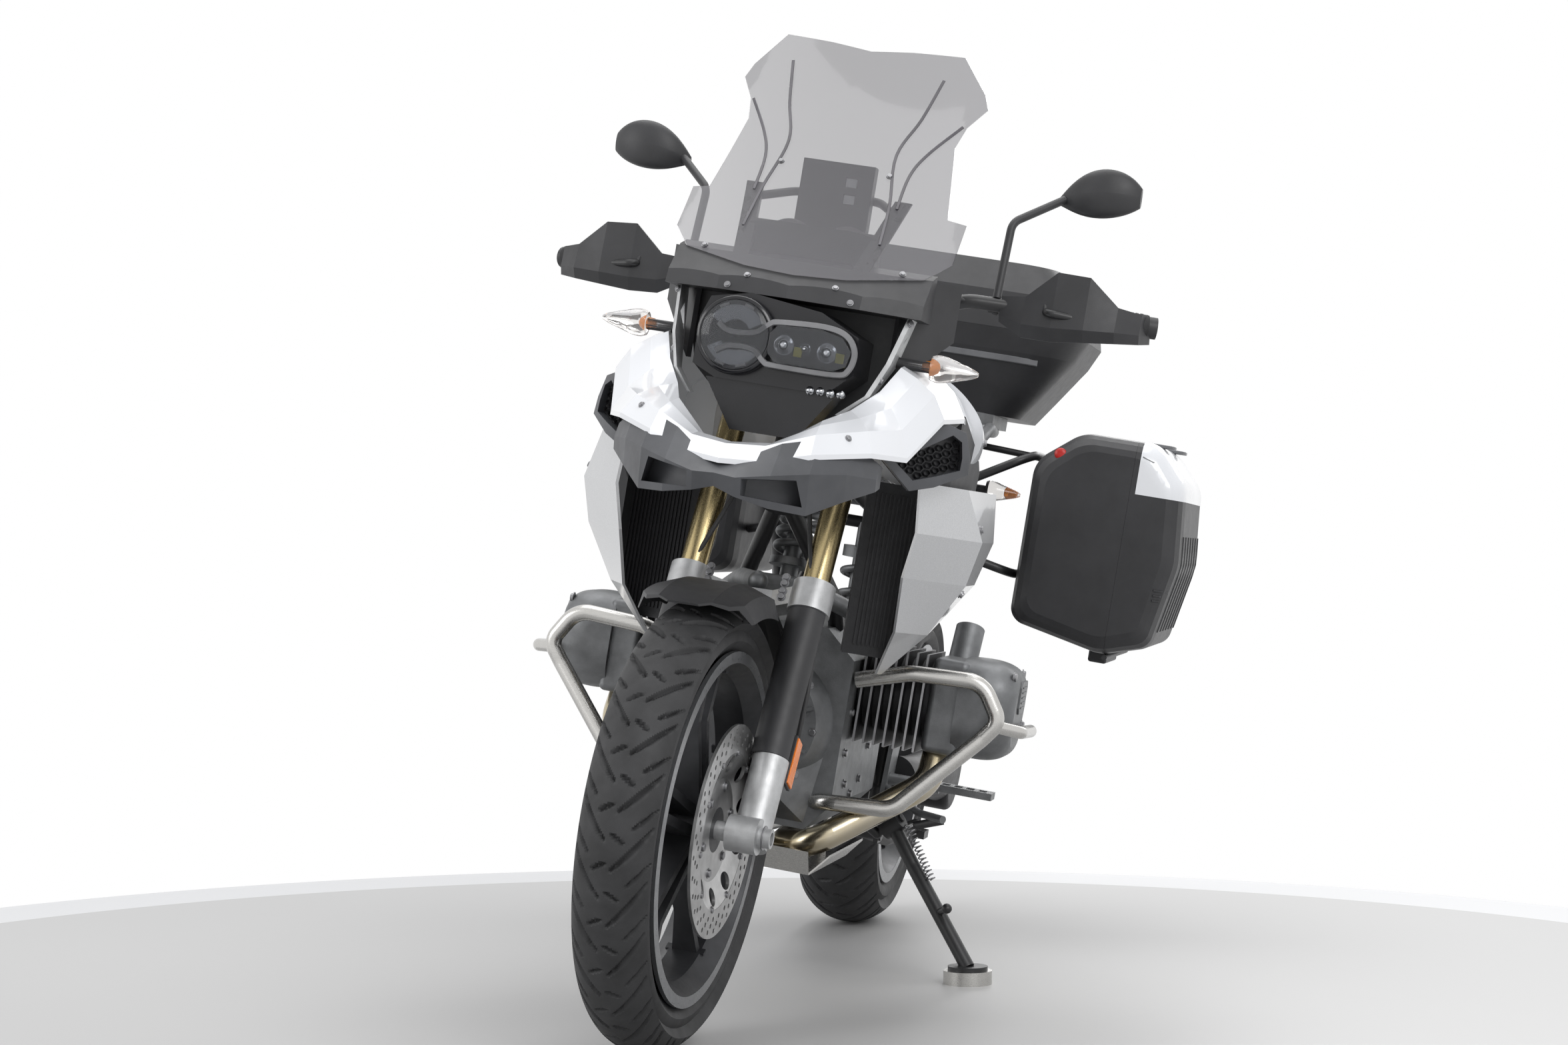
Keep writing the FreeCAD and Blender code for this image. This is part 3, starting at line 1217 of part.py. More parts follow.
def make_lamp_brackets():
    """The two grey struts that slant beside the lamp from the cowl to the nose."""
    half = size("lamp_half_width") * 1.38
    y = size("lamp_y")
    z = size("lamp_z")
    tall = size("lamp_height") / 2
    deep = size("lamp_depth")
    shapes = []
    wide = size("strut_width")
    for side in SIDES:
        rows = []
        for across, back, rise, breadth in STRUT_SHARES:
            centre = vec(side * half * across, y + deep * back, z + tall * rise)
            rows.append([centre, centre + vec(side * size("strut_wall"), size("strut_wall"), 0),
                         centre + vec(side * size("strut_wall"), wide * breadth, 0),
                         centre + vec(0, wide * breadth, 0)])
        window = [vec(side * half, y + deep * back, z + tall * rise) for back, rise in STRUT_WINDOW_SHARES]
        opening = prism([point - AXIS_X * side * wide for point in window], AXIS_X * side * wide * 2)
        shapes.append(loft(rows, True).cut(opening))
    return feature("lamp_brackets", Part.makeCompound(shapes).cut(at_home("nose_panel")).cut(at_home("cockpit")))


NOSE_STATION_SHARES = (
    # inner edge x, y, z and outer edge x, y, z, in shares of half width, length and height
    ((0.0, 0.18, 0.16), (0.0, 0.0, 0.05)),
    ((0.20, 0.21, 0.20), (0.20, 0.03, 0.07)),
    ((0.40, 0.28, 0.42), (0.44, 0.10, 0.17)),
    ((0.49, 0.42, 0.53), (0.70, 0.26, 0.25)),
    ((0.60, 0.51, 0.70), (0.84, 0.42, 0.26)),
    ((0.67, 0.58, 0.90), (0.95, 0.60, 0.58)),
    ((0.70, 0.78, 1.0), (1.0, 0.80, 0.62)),
    ((0.66, 0.98, 1.0), (1.0, 0.98, 0.56)))


def nose_point(shares, side=1):
    return vec(side * shares[0] * size("nose_half_width"), size("nose_front_y") + shares[1] * size("nose_length"),
               size("nose_low_z") + shares[2] * size("nose_height"))


def nose_row(station, side):
    """One cross section of the white band: a crowned top skin and its thickness."""
    inner = nose_point(station[0], side)
    outer = nose_point(station[1], side)
    across = outer - inner
    crown = inner + across * 0.36 + AXIS_Z * size("nose_wall") * 1.5
    crease = inner + across * 0.74 + AXIS_Z * size("nose_wall") * 2.2
    down = AXIS_Z * -size("nose_wall")
    return [inner, crown, crease, outer, outer + down, crease + down, crown + down, inner + down]


def make_nose_panel():
    """The white V under the lamp, running back over both shoulders."""
    rows = [nose_row(station, -1) for station in reversed(NOSE_STATION_SHARES[1:])]
    rows += [nose_row(station, 1) for station in NOSE_STATION_SHARES]
    return feature("nose_panel", loft(rows, True))


BEAK_STATION_SHARES = (
    # half width of the station, then y and z of its rear top, crest, ridge, lip and rear under edge
    (0.0, (0.283, 0.50), (0.167, 0.555), (0.008, 0.355), (0.05, 0.19), (0.325, 0.27)),
    (0.156, (0.292, 0.545), (0.15, 0.59), (0.0, 0.336), (0.058, 0.10), (0.342, 0.19)),
    (0.39, (0.383, 0.81), (0.25, 0.845), (0.075, 0.427), (0.133, 0.02), (0.425, 0.136)),
    (0.625, (0.533, 0.955), (0.40, 0.98), (0.233, 0.52), (0.30, 0.0), (0.575, 0.19)),
    (0.833, (0.708, 0.97), (0.583, 1.0), (0.467, 0.59), (0.517, 0.245), (0.733, 0.37)),
    (1.0, (0.842, 0.755), (0.758, 0.77), (0.70, 0.59), (0.725, 0.43), (0.85, 0.48)))
INTAKE_FRONT_SHARES = ((0.20, 0.13), (0.20, 0.335), (0.55, 0.42), (0.60, 0.10))
INTAKE_PLAN_SHARES = ((0.10, -0.4), (0.70, -0.4), (0.70, 0.44), (0.10, 0.12))


def beak_point(across, back, upward):
    return vec(across * size("beak_half_width"), size("beak_front_y") + back * size("beak_length"),
               size("beak_low_z") + upward * size("beak_height"))


def beak_row(station, side):
    return [beak_point(side * station[0], back, upward) for back, upward in station[1:]]


def make_beak():
    """The dark beak under the nose: two humps beside a low middle, with a pocket under each."""
    rows = [beak_row(station, -1) for station in reversed(BEAK_STATION_SHARES[1:])]
    rows += [beak_row(station, 1) for station in BEAK_STATION_SHARES]
    solid = loft(rows, True)
    for side in SIDES:
        mouth = [beak_point(side * across, -1, upward) for across, upward in INTAKE_FRONT_SHARES]
        plan = [beak_point(side * across, back, 0) for across, back in INTAKE_PLAN_SHARES]
        pocket = prism(mouth, AXIS_Y * size("beak_length") * 2)
        solid = solid.cut(pocket.common(prism(plan, AXIS_Z * size("beak_height"))))
    return feature("beak", main_solid(solid.cut(at_home("nose_panel"))))


make_headlamp()
make_nose_panel()
make_cockpit()
make_screen_supports()
make_lamp_brackets()
make_beak()


# Shrouds, radiators and side panels

SHROUD_ROW_SHARES = (
    # front inner, corner and rear x and y, then z, in shares of half width, length and height
    ((0.72, 0.02), (0.91, 0.32), (0.97, 0.95), 1.0),
    ((0.74, 0.04), (1.0, 0.46), (0.99, 1.0), 0.75),
    ((0.70, 0.10), (0.95, 0.50), (0.94, 0.92), 0.52),
    ((0.68, 0.28), (0.80, 0.54), (0.78, 0.74), 0.24),
    ((0.585, 0.56), (0.60, 0.60), (0.60, 0.64), 0.0))


def shroud_row(row, side):
    half = size("shroud_half_width")
    wall = size("shroud_wall")
    points = [vec(side * x * half, size("shroud_front_y") + y * size("shroud_length"),
                  size("shroud_low_z") + row[3] * size("shroud_height")) for x, y in row[:3]]
    back = [point + vec(-side * wall, wall * 0.6, 0) for point in points]
    return points + list(reversed(back))


def make_radiator_shrouds():
    """Silver wedges in front of and beside the radiators."""
    shapes = [loft([shroud_row(row, side) for row in SHROUD_ROW_SHARES], True) for side in SIDES]
    return feature("radiator_shrouds", Part.makeCompound(shapes))


def make_radiators():
    """Two upright radiators with vertical fins between side tanks."""
    shapes = []
    half = size("radiator_width") / 2
    tall = size("radiator_height") / 2
    deep = size("radiator_thickness")
    for side in SIDES:
        core = block(vec(-half, -deep / 2, -tall), vec(half, deep / 2, tall))
        pitch_x = size("radiator_width") * 0.8 / size("radiator_fin_count")
        fins = []
        for index in range(int(size("radiator_fin_count"))):
            x = -half * 0.8 + pitch_x * (index + 0.5)
            fins.append(block(vec(x - pitch_x * 0.25, -deep / 2 - size("rim_wall") * 0.5, -tall * 0.88),
                              vec(x + pitch_x * 0.25, -deep / 2 + size("rim_wall") * 0.5, tall * 0.88)))
        core = core.fuse(fins)
        core.rotate(CENTRE, AXIS_Z, side * size("radiator_turn"))
        core.translate(vec(side * size("radiator_x"), size("radiator_y"), size("radiator_z")))
        shapes.append(main_solid(core.cut(at_home("radiator_shrouds"))))
    return feature("radiators", Part.makeCompound(shapes))


PANEL_ROW_SHARES = (
    # back along the panel, its lower and upper edge, and its distance from the middle
    (0.0, 0.86, 1.02, 0.80), (0.16, 0.66, 1.12, 0.93), (0.36, 0.46, 1.12, 1.0), (0.66, 0.20, 0.84, 1.04),
    (1.0, 0.06, 0.72, 0.98))


def make_side_panels():
    """Dark panels between the nose and the shrouds, with a mesh intake each."""
    shapes = []
    half = size("nose_half_width")
    wall = size("panel_wall")
    front = size("shroud_front_y") - size("shroud_length") * 0.26
    long = size("shroud_length") * 1.6
    low = size("shroud_low_z") + size("shroud_height") * 0.62
    tall = size("shroud_height") * 0.66
    for side in SIDES:
        rows = []
        for share, bottom, top, wide in PANEL_ROW_SHARES:
            y = front + long * share
            x = side * half * wide
            rows.append([vec(x * 0.97, y, low + tall * bottom), vec(x, y, low + tall * top),
                         vec(x - side * wall, y, low + tall * top), vec(x * 0.97 - side * wall, y, low + tall * bottom)])
        panel = loft(rows, True)
        intake = [vec(0, front + long * 0.14, low + tall * 0.84), vec(0, front + long * 0.34, low + tall * 1.08),
                  vec(0, front + long * 0.37, low + tall * 0.74), vec(0, front + long * 0.20, low + tall * 0.66)]
        opening = prism([vec(side * half * 0.7, point.y, point.z) for point in intake], AXIS_X * side * half * 0.5)
        panel = panel.cut(opening)
        shapes.append(panel)
    solid = Part.makeCompound(shapes)
    for name in ("nose_panel", "radiator_shrouds"):
        solid = solid.cut(at_home(name))
    return feature("side_panels", solid)


make_radiator_shrouds()
make_radiators()
make_side_panels()


# Tank and seats


WING_ROW_SHARES = (
    # back along the tank, then across and upward round the section
    (0.01, ((0.55, 0.99), (0.98, 0.96), (1.24, 0.76), (1.36, 0.54), (1.28, 0.22), (0.55, 0.12))),
    (0.22, ((0.55, 0.95), (0.95, 0.90), (1.20, 0.68), (1.30, 0.44), (1.22, 0.12), (0.55, 0.06))),
    (0.50, ((0.45, 0.75), (0.78, 0.70), (1.0, 0.50), (1.08, 0.30), (1.02, 0.06), (0.45, 0.03))),
    (0.80, ((0.30, 0.34), (0.50, 0.32), (0.62, 0.24), (0.66, 0.16), (0.62, 0.06), (0.30, 0.04))))


def wing_loop(row, side):
    """One section of the cover's side wing."""
    y = size("tank_front_y") + size("tank_length") * row[0]
    tall = size("tank_top_z") - size("tank_low_z")
    return smooth_loop([vec(side * across * size("tank_half_width"), y, size("tank_low_z") + tall * upward)
                        for across, upward in row[1]])


def make_tank_cover():
    """The painted tank cover, rising to the filler, with a wing each side, narrowing to the seat."""
    front = size("tank_front_y")
    long = size("tank_length")
    half = size("tank_half_width")
    top = size("tank_top_z")
    low = size("tank_low_z")
    rows = []
    for share, wide, rise, sink in ((0.0, 0.90, 0.72, 0.12), (0.18, 1.0, 0.92, 0.02), (0.42, 0.98, 1.0, 0.0),
                                    (0.7, 0.80, 0.84, 0.0), (0.88, 0.62, 0.5, 0.0), (1.0, 0.52, 0.16, 0.0)):
        rows.append(egg(front + long * share, half * wide, low + (top - low) * sink * 0.5, low + (top - low) * rise))
    wings = [smooth_body([wing_loop(row, side) for row in WING_ROW_SHARES]) for side in SIDES]
    solid = fused([smooth_body(rows)] + wings)
    solid = solid.cut(steering_room(size("stanchion_radius") * 1.45 + size("overrun")))
    for name in ("frame", "suspension_struts", "rider_seat", "side_panels", "cockpit"):
        solid = solid.cut(at_home(name))
    return feature("tank_cover", solid)


def seat_shape(front, long, half, low, tall, rows):
    sections = []
    for share, wide, rise, sink in rows:
        sections.append(egg(front + long * share, half * wide, low + tall * sink, low + tall * rise, 0.62))
    return smooth_body(sections)


def make_seats():
    """A low rider's seat with a raised rear and a separate pillion pad behind it."""
    front = size("rider_seat_front_y")
    long = size("rider_seat_length")
    rider = seat_shape(front, long, size("rider_seat_width") / 2, size("rider_seat_z"), size("rider_seat_height"),
                       ((0.0, 0.36, 1.3, 0.6), (0.12, 0.5, 1.16, 0.2), (0.45, 0.86, 0.96, 0.02), (0.8, 1.0, 1.1, 0.04),
                        (1.0, 0.9, 1.36, 0.36)))
    feature("rider_seat", rider.cut(at_home("frame")))
    start = front + long + size("seat_gap") * 10
    pillion = seat_shape(start, size("pillion_seat_length"), size("pillion_seat_width") / 2, size("pillion_seat_z"),
                         size("pillion_seat_height"), ((0.0, 0.9, 0.9, 0.12), (0.2, 1.0, 1.12, 0.0),
                                                       (0.6, 0.94, 1.16, 0.06), (1.0, 0.66, 0.96, 0.3)))
    feature("pillion_seat", pillion.cut(at_home("frame")))


# Frame, arms and struts


def head_point(along, x=0, forward=0):
    return fork_point(x, forward, along)


def make_frame():
    """Steering head, spine tubes round the engine and the tapering rear frame."""
    half = size("engine_half_width")
    tube_radius = size("centre_tube_radius")
    head_low = size("bridge_along") + size("bridge_height") * 3.4
    head_high = size("yoke_along") - size("yoke_height") * 1.4
    shapes = [rod(head_point(head_low), head_point(head_high), size("stanchion_radius") * 1.5)]
    top = size("engine_top_z")
    for side in SIDES:
        spine = [head_point(head_high - size("yoke_height")),
                 vec(side * half * 0.62, size("engine_front_y") + half, top + half * 1.6),
                 vec(side * half * 0.86, size("engine_rear_y"), top + half * 1.2),
                 vec(side * half * 0.9, size("centre_pivot_y"), top + half * 0.2),
                 vec(side * half * 0.86, size("centre_pivot_y"), size("centre_pivot_z"))]
        shapes.append(tube(spine, tube_radius, size("header_bend")))
        down = [head_point(head_low + size("yoke_height")),
                vec(side * half * 0.6, size("engine_front_y") + half * 0.3, top + half * 0.3),
                vec(side * half * 0.6, size("engine_front_y") + half * 0.6, top + size("pin_gap"))]
        shapes.append(tube(down, tube_radius, size("header_bend")))
        seat_floor = size("rider_seat_z") - tube_radius * 1.4
        rear_z = size("pillion_seat_z") - tube_radius * 1.6
        rear = [vec(side * half * 0.88, size("engine_rear_y") + half * 0.4, top + half * 0.98),
                vec(side * half * 0.8, size("rider_seat_front_y") + size("rider_seat_length"), seat_floor),
                vec(side * half * 0.76, size("rack_front_y") + half * 0.4, rear_z),
                vec(side * half * 0.6, size("rack_front_y") + size("rack_length") * 0.9, rear_z)]
        shapes.append(tube(rear, tube_radius, size("header_bend")))
        stay = [vec(side * half * 0.9, size("centre_pivot_y"), top - half * 0.4),
                vec(side * half * 0.7, size("rack_front_y") + size("rack_length") * 0.3, rear_z)]
        shapes.append(rod(stay[0], stay[1], tube_radius * 0.8))
    hanger = strut_top()
    shapes.append(rod(hanger - AXIS_X * half * 0.84, hanger + AXIS_X * half * 0.84, tube_radius * 0.8))
    cross_y = size("rack_front_y") + size("rack_length") * 0.5
    shapes.append(rod(vec(-half * 0.7, cross_y, rear_z), vec(half * 0.7, cross_y, rear_z), tube_radius * 0.8))
    low_z = size("centre_pivot_z") + tube_radius * 4.6
    shapes.append(rod(vec(-half, size("centre_pivot_y"), low_z), vec(half, size("centre_pivot_y"), low_z),
                      tube_radius))
    shapes += [centre_stand_cheek(side, low_z) for side in SIDES]
    solid = fused(shapes + [side_stand_arm()])
    for name in ("engine_case", "cylinders", "cylinder_heads"):
        solid = solid.cut(at_home(name))
    return feature("frame", solid)


def centre_stand_pivot():
    return vec(0, size("centre_pivot_y"), size("centre_pivot_z") - size("centre_tube_radius") * 1.6)


def centre_stand_cheek(side, top):
    """A plate that hangs from the frame's low cross tube and holds the centre stand's shaft."""
    radius = size("centre_tube_radius")
    pivot = centre_stand_pivot() + AXIS_X * side * (size("centre_half_width") - size("panel_wall") * 1.4)
    half = radius * 1.25
    corners = [pivot + vec(0, -half, -half), pivot + vec(0, half, -half),
               vec(pivot.x, pivot.y + half, top + radius), vec(pivot.x, pivot.y - half, top + radius)]
    plate = prism(corners, AXIS_X * side * size("panel_wall"))
    shaft = rod(pivot - AXIS_X * half * 2, pivot + AXIS_X * half * 2, radius + size("pin_gap"))
    return plate.cut(shaft)


def stand_pivot():
    return vec(size("stand_pivot_x"), size("stand_pivot_y"), size("stand_pivot_z"))


def stand_line():
    """The direction of the side stand's pin: square to the leg as it stands and as it lies folded."""
    leg = upright_point(size("puck_x"), size("puck_y"), size("puck_height")) - stand_pivot()
    return leg.cross(vec(*STAND_FOLDED_SHARES)).normalize()


STAND_FOLDED_SHARES = (0.10, 0.98, 0.15)


def side_stand_arm():
    """A short arm under the engine that ends in the side stand's pin."""
    radius = size("stand_tube_radius")
    arm_radius = radius * 0.75
    line = stand_line()
    reach = radius * 1.5 + size("pin_gap")
    half = size("engine_half_width")
    root = vec(half * 0.62, size("engine_rear_y") - radius * 1.5, size("engine_low_z") + radius * 1.2)
    knuckle = stand_pivot() - line * (reach + arm_radius * 1.5)
    pin = rod(knuckle, stand_pivot() + line * (reach + radius * 0.3), radius * 0.6)
    return fused([rod(root, knuckle, arm_radius), Part.makeSphere(arm_radius, knuckle), pin])


def upright_point(x, y, z):
    """A point on the floor's axes as seen from the upright bike."""
    return CHASSIS.inverse().multVec(vec(x - size("origin_x"), y - size("origin_y"), z))


def make_front_arm():
    """The forked arm from the engine to the ball joint on the fork bridge."""
    ball_radius = size("bridge_height") * 0.34
    joint = fork_point(0, 0, size("bridge_along") + size("bridge_height") * 0.3 + ball_radius + size("pin_gap"))
    ball = Part.makeSphere(ball_radius, joint)
    half = size("engine_half_width")
    shapes = [ball]
    for side in SIDES:
        pivot = vec(side * half * 0.8, size("engine_front_y") + half * 0.3, size("engine_top_z") + half * 0.24)
        shapes.append(tube([joint, vec(side * half * 0.4, (joint.y + pivot.y) / 2, (joint.z + pivot.z) / 2 + half * 0.1),
                            pivot], size("centre_tube_radius") * 1.1, size("header_bend")))
    solid = fused(shapes)
    for name in ("engine_case", "frame"):
        solid = solid.cut(at_home(name))
    return feature("front_arm", solid)


SPRING_SEAT_SHARES = (0.18, 0.84)
SPRING_CUP_SHARE = 0.05


def spring_strut(low, high):
    """A damper with its coil spring, seated in two cups."""
    radius = size("spring_radius")
    wire = size("spring_wire_radius")
    turns = size("spring_turns")
    run = high - low
    direction = run * (1 / run.Length)
    length = run.Length
    seat_low, seat_high = SPRING_SEAT_SHARES
    travel = length * (seat_high - seat_low) - 2 * wire - 2 * size("pin_gap")
    coil = Part.makeHelix(travel / turns, travel, radius - wire)
    ring = Part.Wire(Part.makeCircle(wire, vec(radius - wire, 0, 0), AXIS_Y))
    spring = Part.Wire(coil.Edges).makePipeShell([ring], True, True)
    turn = FreeCAD.Rotation(AXIS_Z, direction)
    spring.Placement = FreeCAD.Placement(low + direction * (length * seat_low + wire + size("pin_gap")), turn)
    parts = [rod(low, high, radius * 0.42)]
    for share in (seat_low - SPRING_CUP_SHARE, seat_high):
        cup = low + direction * length * share
        parts.append(rod(cup, cup + direction * length * SPRING_CUP_SHARE, radius))
    return fused(parts), spring


def strut_foot():
    """Where the rear strut stands on the swinging arm's brace."""
    radius = size("header_radius")
    return vec(0, size("centre_pivot_y") + radius + size("engine_half_width") * 0.56, REAR_AXLE.z + radius * 2.8)


def strut_top():
    """Where the rear strut hangs from the frame's cross tube."""
    half = size("engine_half_width")
    return vec(0, size("centre_pivot_y") + half * 0.7, size("rider_seat_z") - half * 0.24)


def make_struts():
    """The front and rear spring struts."""
    arm_y = size("engine_front_y") + size("engine_half_width") * 0.1
    front_low = vec(0, arm_y, size("engine_top_z") + size("engine_half_width") * 0.42)
    front_high = vec(0, arm_y + size("engine_half_width") * 0.3, size("tank_low_z") + size("engine_half_width") * 0.3)
    front, front_spring = spring_strut(front_low, front_high)
    rear, rear_spring = spring_strut(strut_foot(), strut_top())
    front = front.cut(at_home("frame")).cut(at_home("front_arm"))
    solid = Part.makeCompound([front, front_spring, rear.cut(at_home("frame")), rear_spring])
    return feature("suspension_struts", solid)


def make_swingarm():
    """A single-sided arm on the left that ends in the bevel drive and the hollow hub pin."""
    left = size("rear_hub_width") / 2 + size("rear_hub_offset") + size("rear_disc_thickness")
    left += size("running_gap") + size("pin_gap")
    arm_x = size("rear_tyre_width") / 2 + size("running_gap") + size("rear_hub_radius") * 0.68
    pivot = vec(arm_x * 0.8, size("centre_pivot_y") + size("header_radius"), REAR_AXLE.z + size("header_radius"))
    hub = vec(left, REAR_AXLE.y, REAR_AXLE.z)
    drive = rod(hub, hub + AXIS_X * size("drive_length"), size("rear_hub_radius") * 1.2)
    drive = drive.makeFillet(size("cover_wall"), [drive.Edges[0]])
    sections = []
    for share, wide, tall in ((0.0, 0.62, 0.7), (0.4, 0.66, 0.62), (0.8, 0.66, 0.8), (0.96, 0.6, 0.95)):
        y = pivot.y + (hub.y - size("rear_hub_radius") * 0.2 - pivot.y) * share
        half = size("rear_hub_radius") * wide
        high = size("rear_hub_radius") * tall
        loop = []
        for angle in ring_angles(10):
            loop.append(vec(arm_x + half * math.cos(angle), y, pivot.z + (hub.z - pivot.z) * share + high * math.sin(angle)))
        sections.append(smooth_loop(loop))
    arm = smooth_body(sections)
    pivot_tube = rod(vec(-size("engine_half_width") * 0.7, pivot.y, pivot.z), vec(arm_x, pivot.y, pivot.z),
                     size("header_radius"))
    radius = size("header_radius")
    brace = rod(strut_foot() - AXIS_X * radius, vec(arm_x, pivot.y + size("engine_half_width"), pivot.z), radius * 0.9)
    pin_outer = size("rear_hub_bore") - size("pin_gap")
    pin_end = -size("rear_hub_width") / 2 + size("rear_hub_offset") - size("overrun") * 0.5
    pin = rod(vec(pin_end, hub.y, hub.z), hub + AXIS_X * size("pin_gap"), pin_outer)
    solid = fused([drive, arm, pivot_tube, brace, pin])
    bore = rod(vec(pin_end * 2, hub.y, hub.z), hub + AXIS_X * size("drive_length") * 2, size("hub_pin_bore"))
    solid = solid.cut(bore)
    for name in ("frame", "suspension_struts", "exhaust"):
        solid = solid.cut(at_home(name))
    return feature("swingarm", solid)


make_frame()
make_front_arm()
make_struts()
make_swingarm()
make_seats()
make_tank_cover()


# Footpegs


PEG_SLOT_SHARES = (-0.42, -0.20, 0.02, 0.24)


def make_footpegs():
    """Rider's and pillion's pegs on forged brackets, with the two foot levers."""
    shapes = []
    half = size("engine_half_width")
    inner = half * 0.9 + size("centre_tube_radius")
    long = size("peg_length")
    wide = size("peg_width")
    tread = size("skid_thickness")
    reach = size("overrun")
    bar = size("guard_radius") * 0.8
    peg_at = vec(size("peg_x"), size("peg_y"), size("peg_z"))
    link_at = vec(inner, size("centre_pivot_y"), size("crank_z"))
    peg = block(peg_at - vec(long / 2, wide / 2, tread * 2), peg_at + vec(long / 2, wide / 2, tread))
    slot = block(vec(0, -wide * 0.3, -reach * 2), vec(long * 0.14, wide * 0.3, reach * 2))
    for share in PEG_SLOT_SHARES:
        peg = peg.cut(slot.translated(peg_at + AXIS_X * long * share))
    stem = rod(vec(inner, peg_at.y, peg_at.z - tread), peg_at - vec(long * 0.46, 0, tread), bar)
    low = peg_at.z - wide * 0.6
    bracket = prism([vec(inner, peg_at.y - wide * 0.7, low), vec(inner, peg_at.y + wide * 0.7, low),
                     link_at + AXIS_Y * wide * 0.6, link_at + vec(0, -wide * 0.8, wide)], AXIS_X * size("panel_wall"))
    link = rod(vec(half * 0.8, link_at.y, link_at.z), link_at, bar)
    lever = tube([vec(inner + size("panel_wall"), peg_at.y - wide * 0.4, peg_at.z - wide * 0.4),
                  peg_at + vec(-long * 0.6, wide - long * 1.5, -wide * 0.9),
                  peg_at + vec(-long * 0.1, -long * 1.5, -wide * 0.86)],
                 size("mirror_stem_radius"), size("mirror_stem_bend"))
    rear_at = vec(half * 1.2, peg_at.y + long * 2.9, peg_at.z + long * 1.25)
    arm = tube([vec(half * 0.86, link_at.y + wide * 0.1, link_at.z + long * 0.9),
                rear_at - vec(half * 0.15, wide, wide * 0.2), rear_at], bar, size("mirror_stem_bend"))
    rear_peg = rod(rear_at, rear_at + AXIS_X * long * 0.8, size("guard_radius"))
    solid = fused([peg, stem, bracket, link, lever, arm, rear_peg])
    shapes = [solid, mirrored(solid)]
    solid = Part.makeCompound(shapes)
    for name in ("frame", "engine_case", "exhaust", "swingarm"):
        solid = solid.cut(at_home(name))
    return feature("footpegs", solid)


make_footpegs()


# Rear rack, carriers and tail


def make_rear_rack():
    """A tubular rack with a plate for the top case and a grab loop each side."""
    z = size("rack_z")
    half = size("rack_width") / 2
    front = size("rack_front_y")
    rear = front + size("rack_length")
    radius = size("rack_tube_radius")
    loop = [vec(-half, front, z - radius * 3), vec(-half * 1.05, front + half * 0.6, z), vec(-half * 0.8, rear, z),
            vec(half * 0.8, rear, z), vec(half * 1.05, front + half * 0.6, z), vec(half, front, z - radius * 3)]
    shapes = [tube(loop, radius, size("header_bend"))]
    for share in (0.45, 0.75):
        y = front + size("rack_length") * share
        shapes.append(rod(vec(-half * 0.92, y, z), vec(half * 0.92, y, z), radius * 0.8))
    plate_low = z + radius * 0.6
    plate_half = half * 0.92
    back = rear + half * 0.55
    plate = [vec(-plate_half * 0.8, rear - half * 1.5, plate_low), vec(plate_half * 0.8, rear - half * 1.5, plate_low),
             vec(plate_half, rear - half * 1.1, plate_low), vec(plate_half, back - half * 0.3, plate_low),
             vec(plate_half * 0.7, back, plate_low), vec(-plate_half * 0.7, back, plate_low),
             vec(-plate_half, back - half * 0.3, plate_low), vec(-plate_half, rear - half * 1.1, plate_low)]
    plate_top = size("topcase_low_z") - size("seat_gap")
    shapes.append(prism(plate, AXIS_Z * (plate_top - plate_low)))
    mount_half = size("engine_half_width") * 0.58
    for side in SIDES:
        foot_z = size("pillion_seat_z") - radius
        foot = vec(side * mount_half, rear - size("rack_length") * 0.1, foot_z)
        shapes.append(rod(foot, vec(foot.x, foot.y, z), radius * 0.8))
        shapes.append(rod(vec(side * half, front, z - radius * 3), vec(side * half * 0.68, front, foot_z), radius * 0.8))
    solid = fused(shapes).cut(at_home("frame")).cut(at_home("pillion_seat"))
    return feature("rear_rack", solid)


def make_case_carriers():
    """Black tube loops that hold the side cases, one each side."""
    radius = size("carrier_tube_radius")
    inner = size("sidecase_inner_x") - radius - size("seat_gap")
    high = size("sidecase_low_z") + size("sidecase_height") * 0.86
    low = size("sidecase_low_z") + size("sidecase_height") * 0.30
    front = size("sidecase_front_y") + size("sidecase_length") * 0.12
    rear = front + size("sidecase_length") * 0.72
    root = size("engine_half_width") * 0.7
    shapes = []
    for side in SIDES:
        loop = [vec(root, front, size("pillion_seat_z") - radius * 3), vec(inner, front + radius * 2, high),
                vec(inner, rear, high),
                vec(inner, rear, low), vec(inner, front, low), vec(root * 1.1, front - radius * 6, low + radius * 4)]
        bars = [tube(loop, radius, size("guard_bend"))]
        stay = rear - radius * 8
        bars.append(rod(vec(root * 0.8, stay, high + radius), vec(inner, stay, high), radius * 0.8))
        middle = (front + rear) / 2
        bars.append(rod(vec(inner, middle, low), vec(inner, middle, high), radius * 0.8))
        solid = fused(bars)
        shapes.append(solid if side > 0 else mirrored(solid))
    solid = Part.makeCompound(shapes)
    for name in ("frame", "rear_rack", "footpegs"):
        solid = solid.cut(at_home(name))
    return feature("case_carriers", solid)


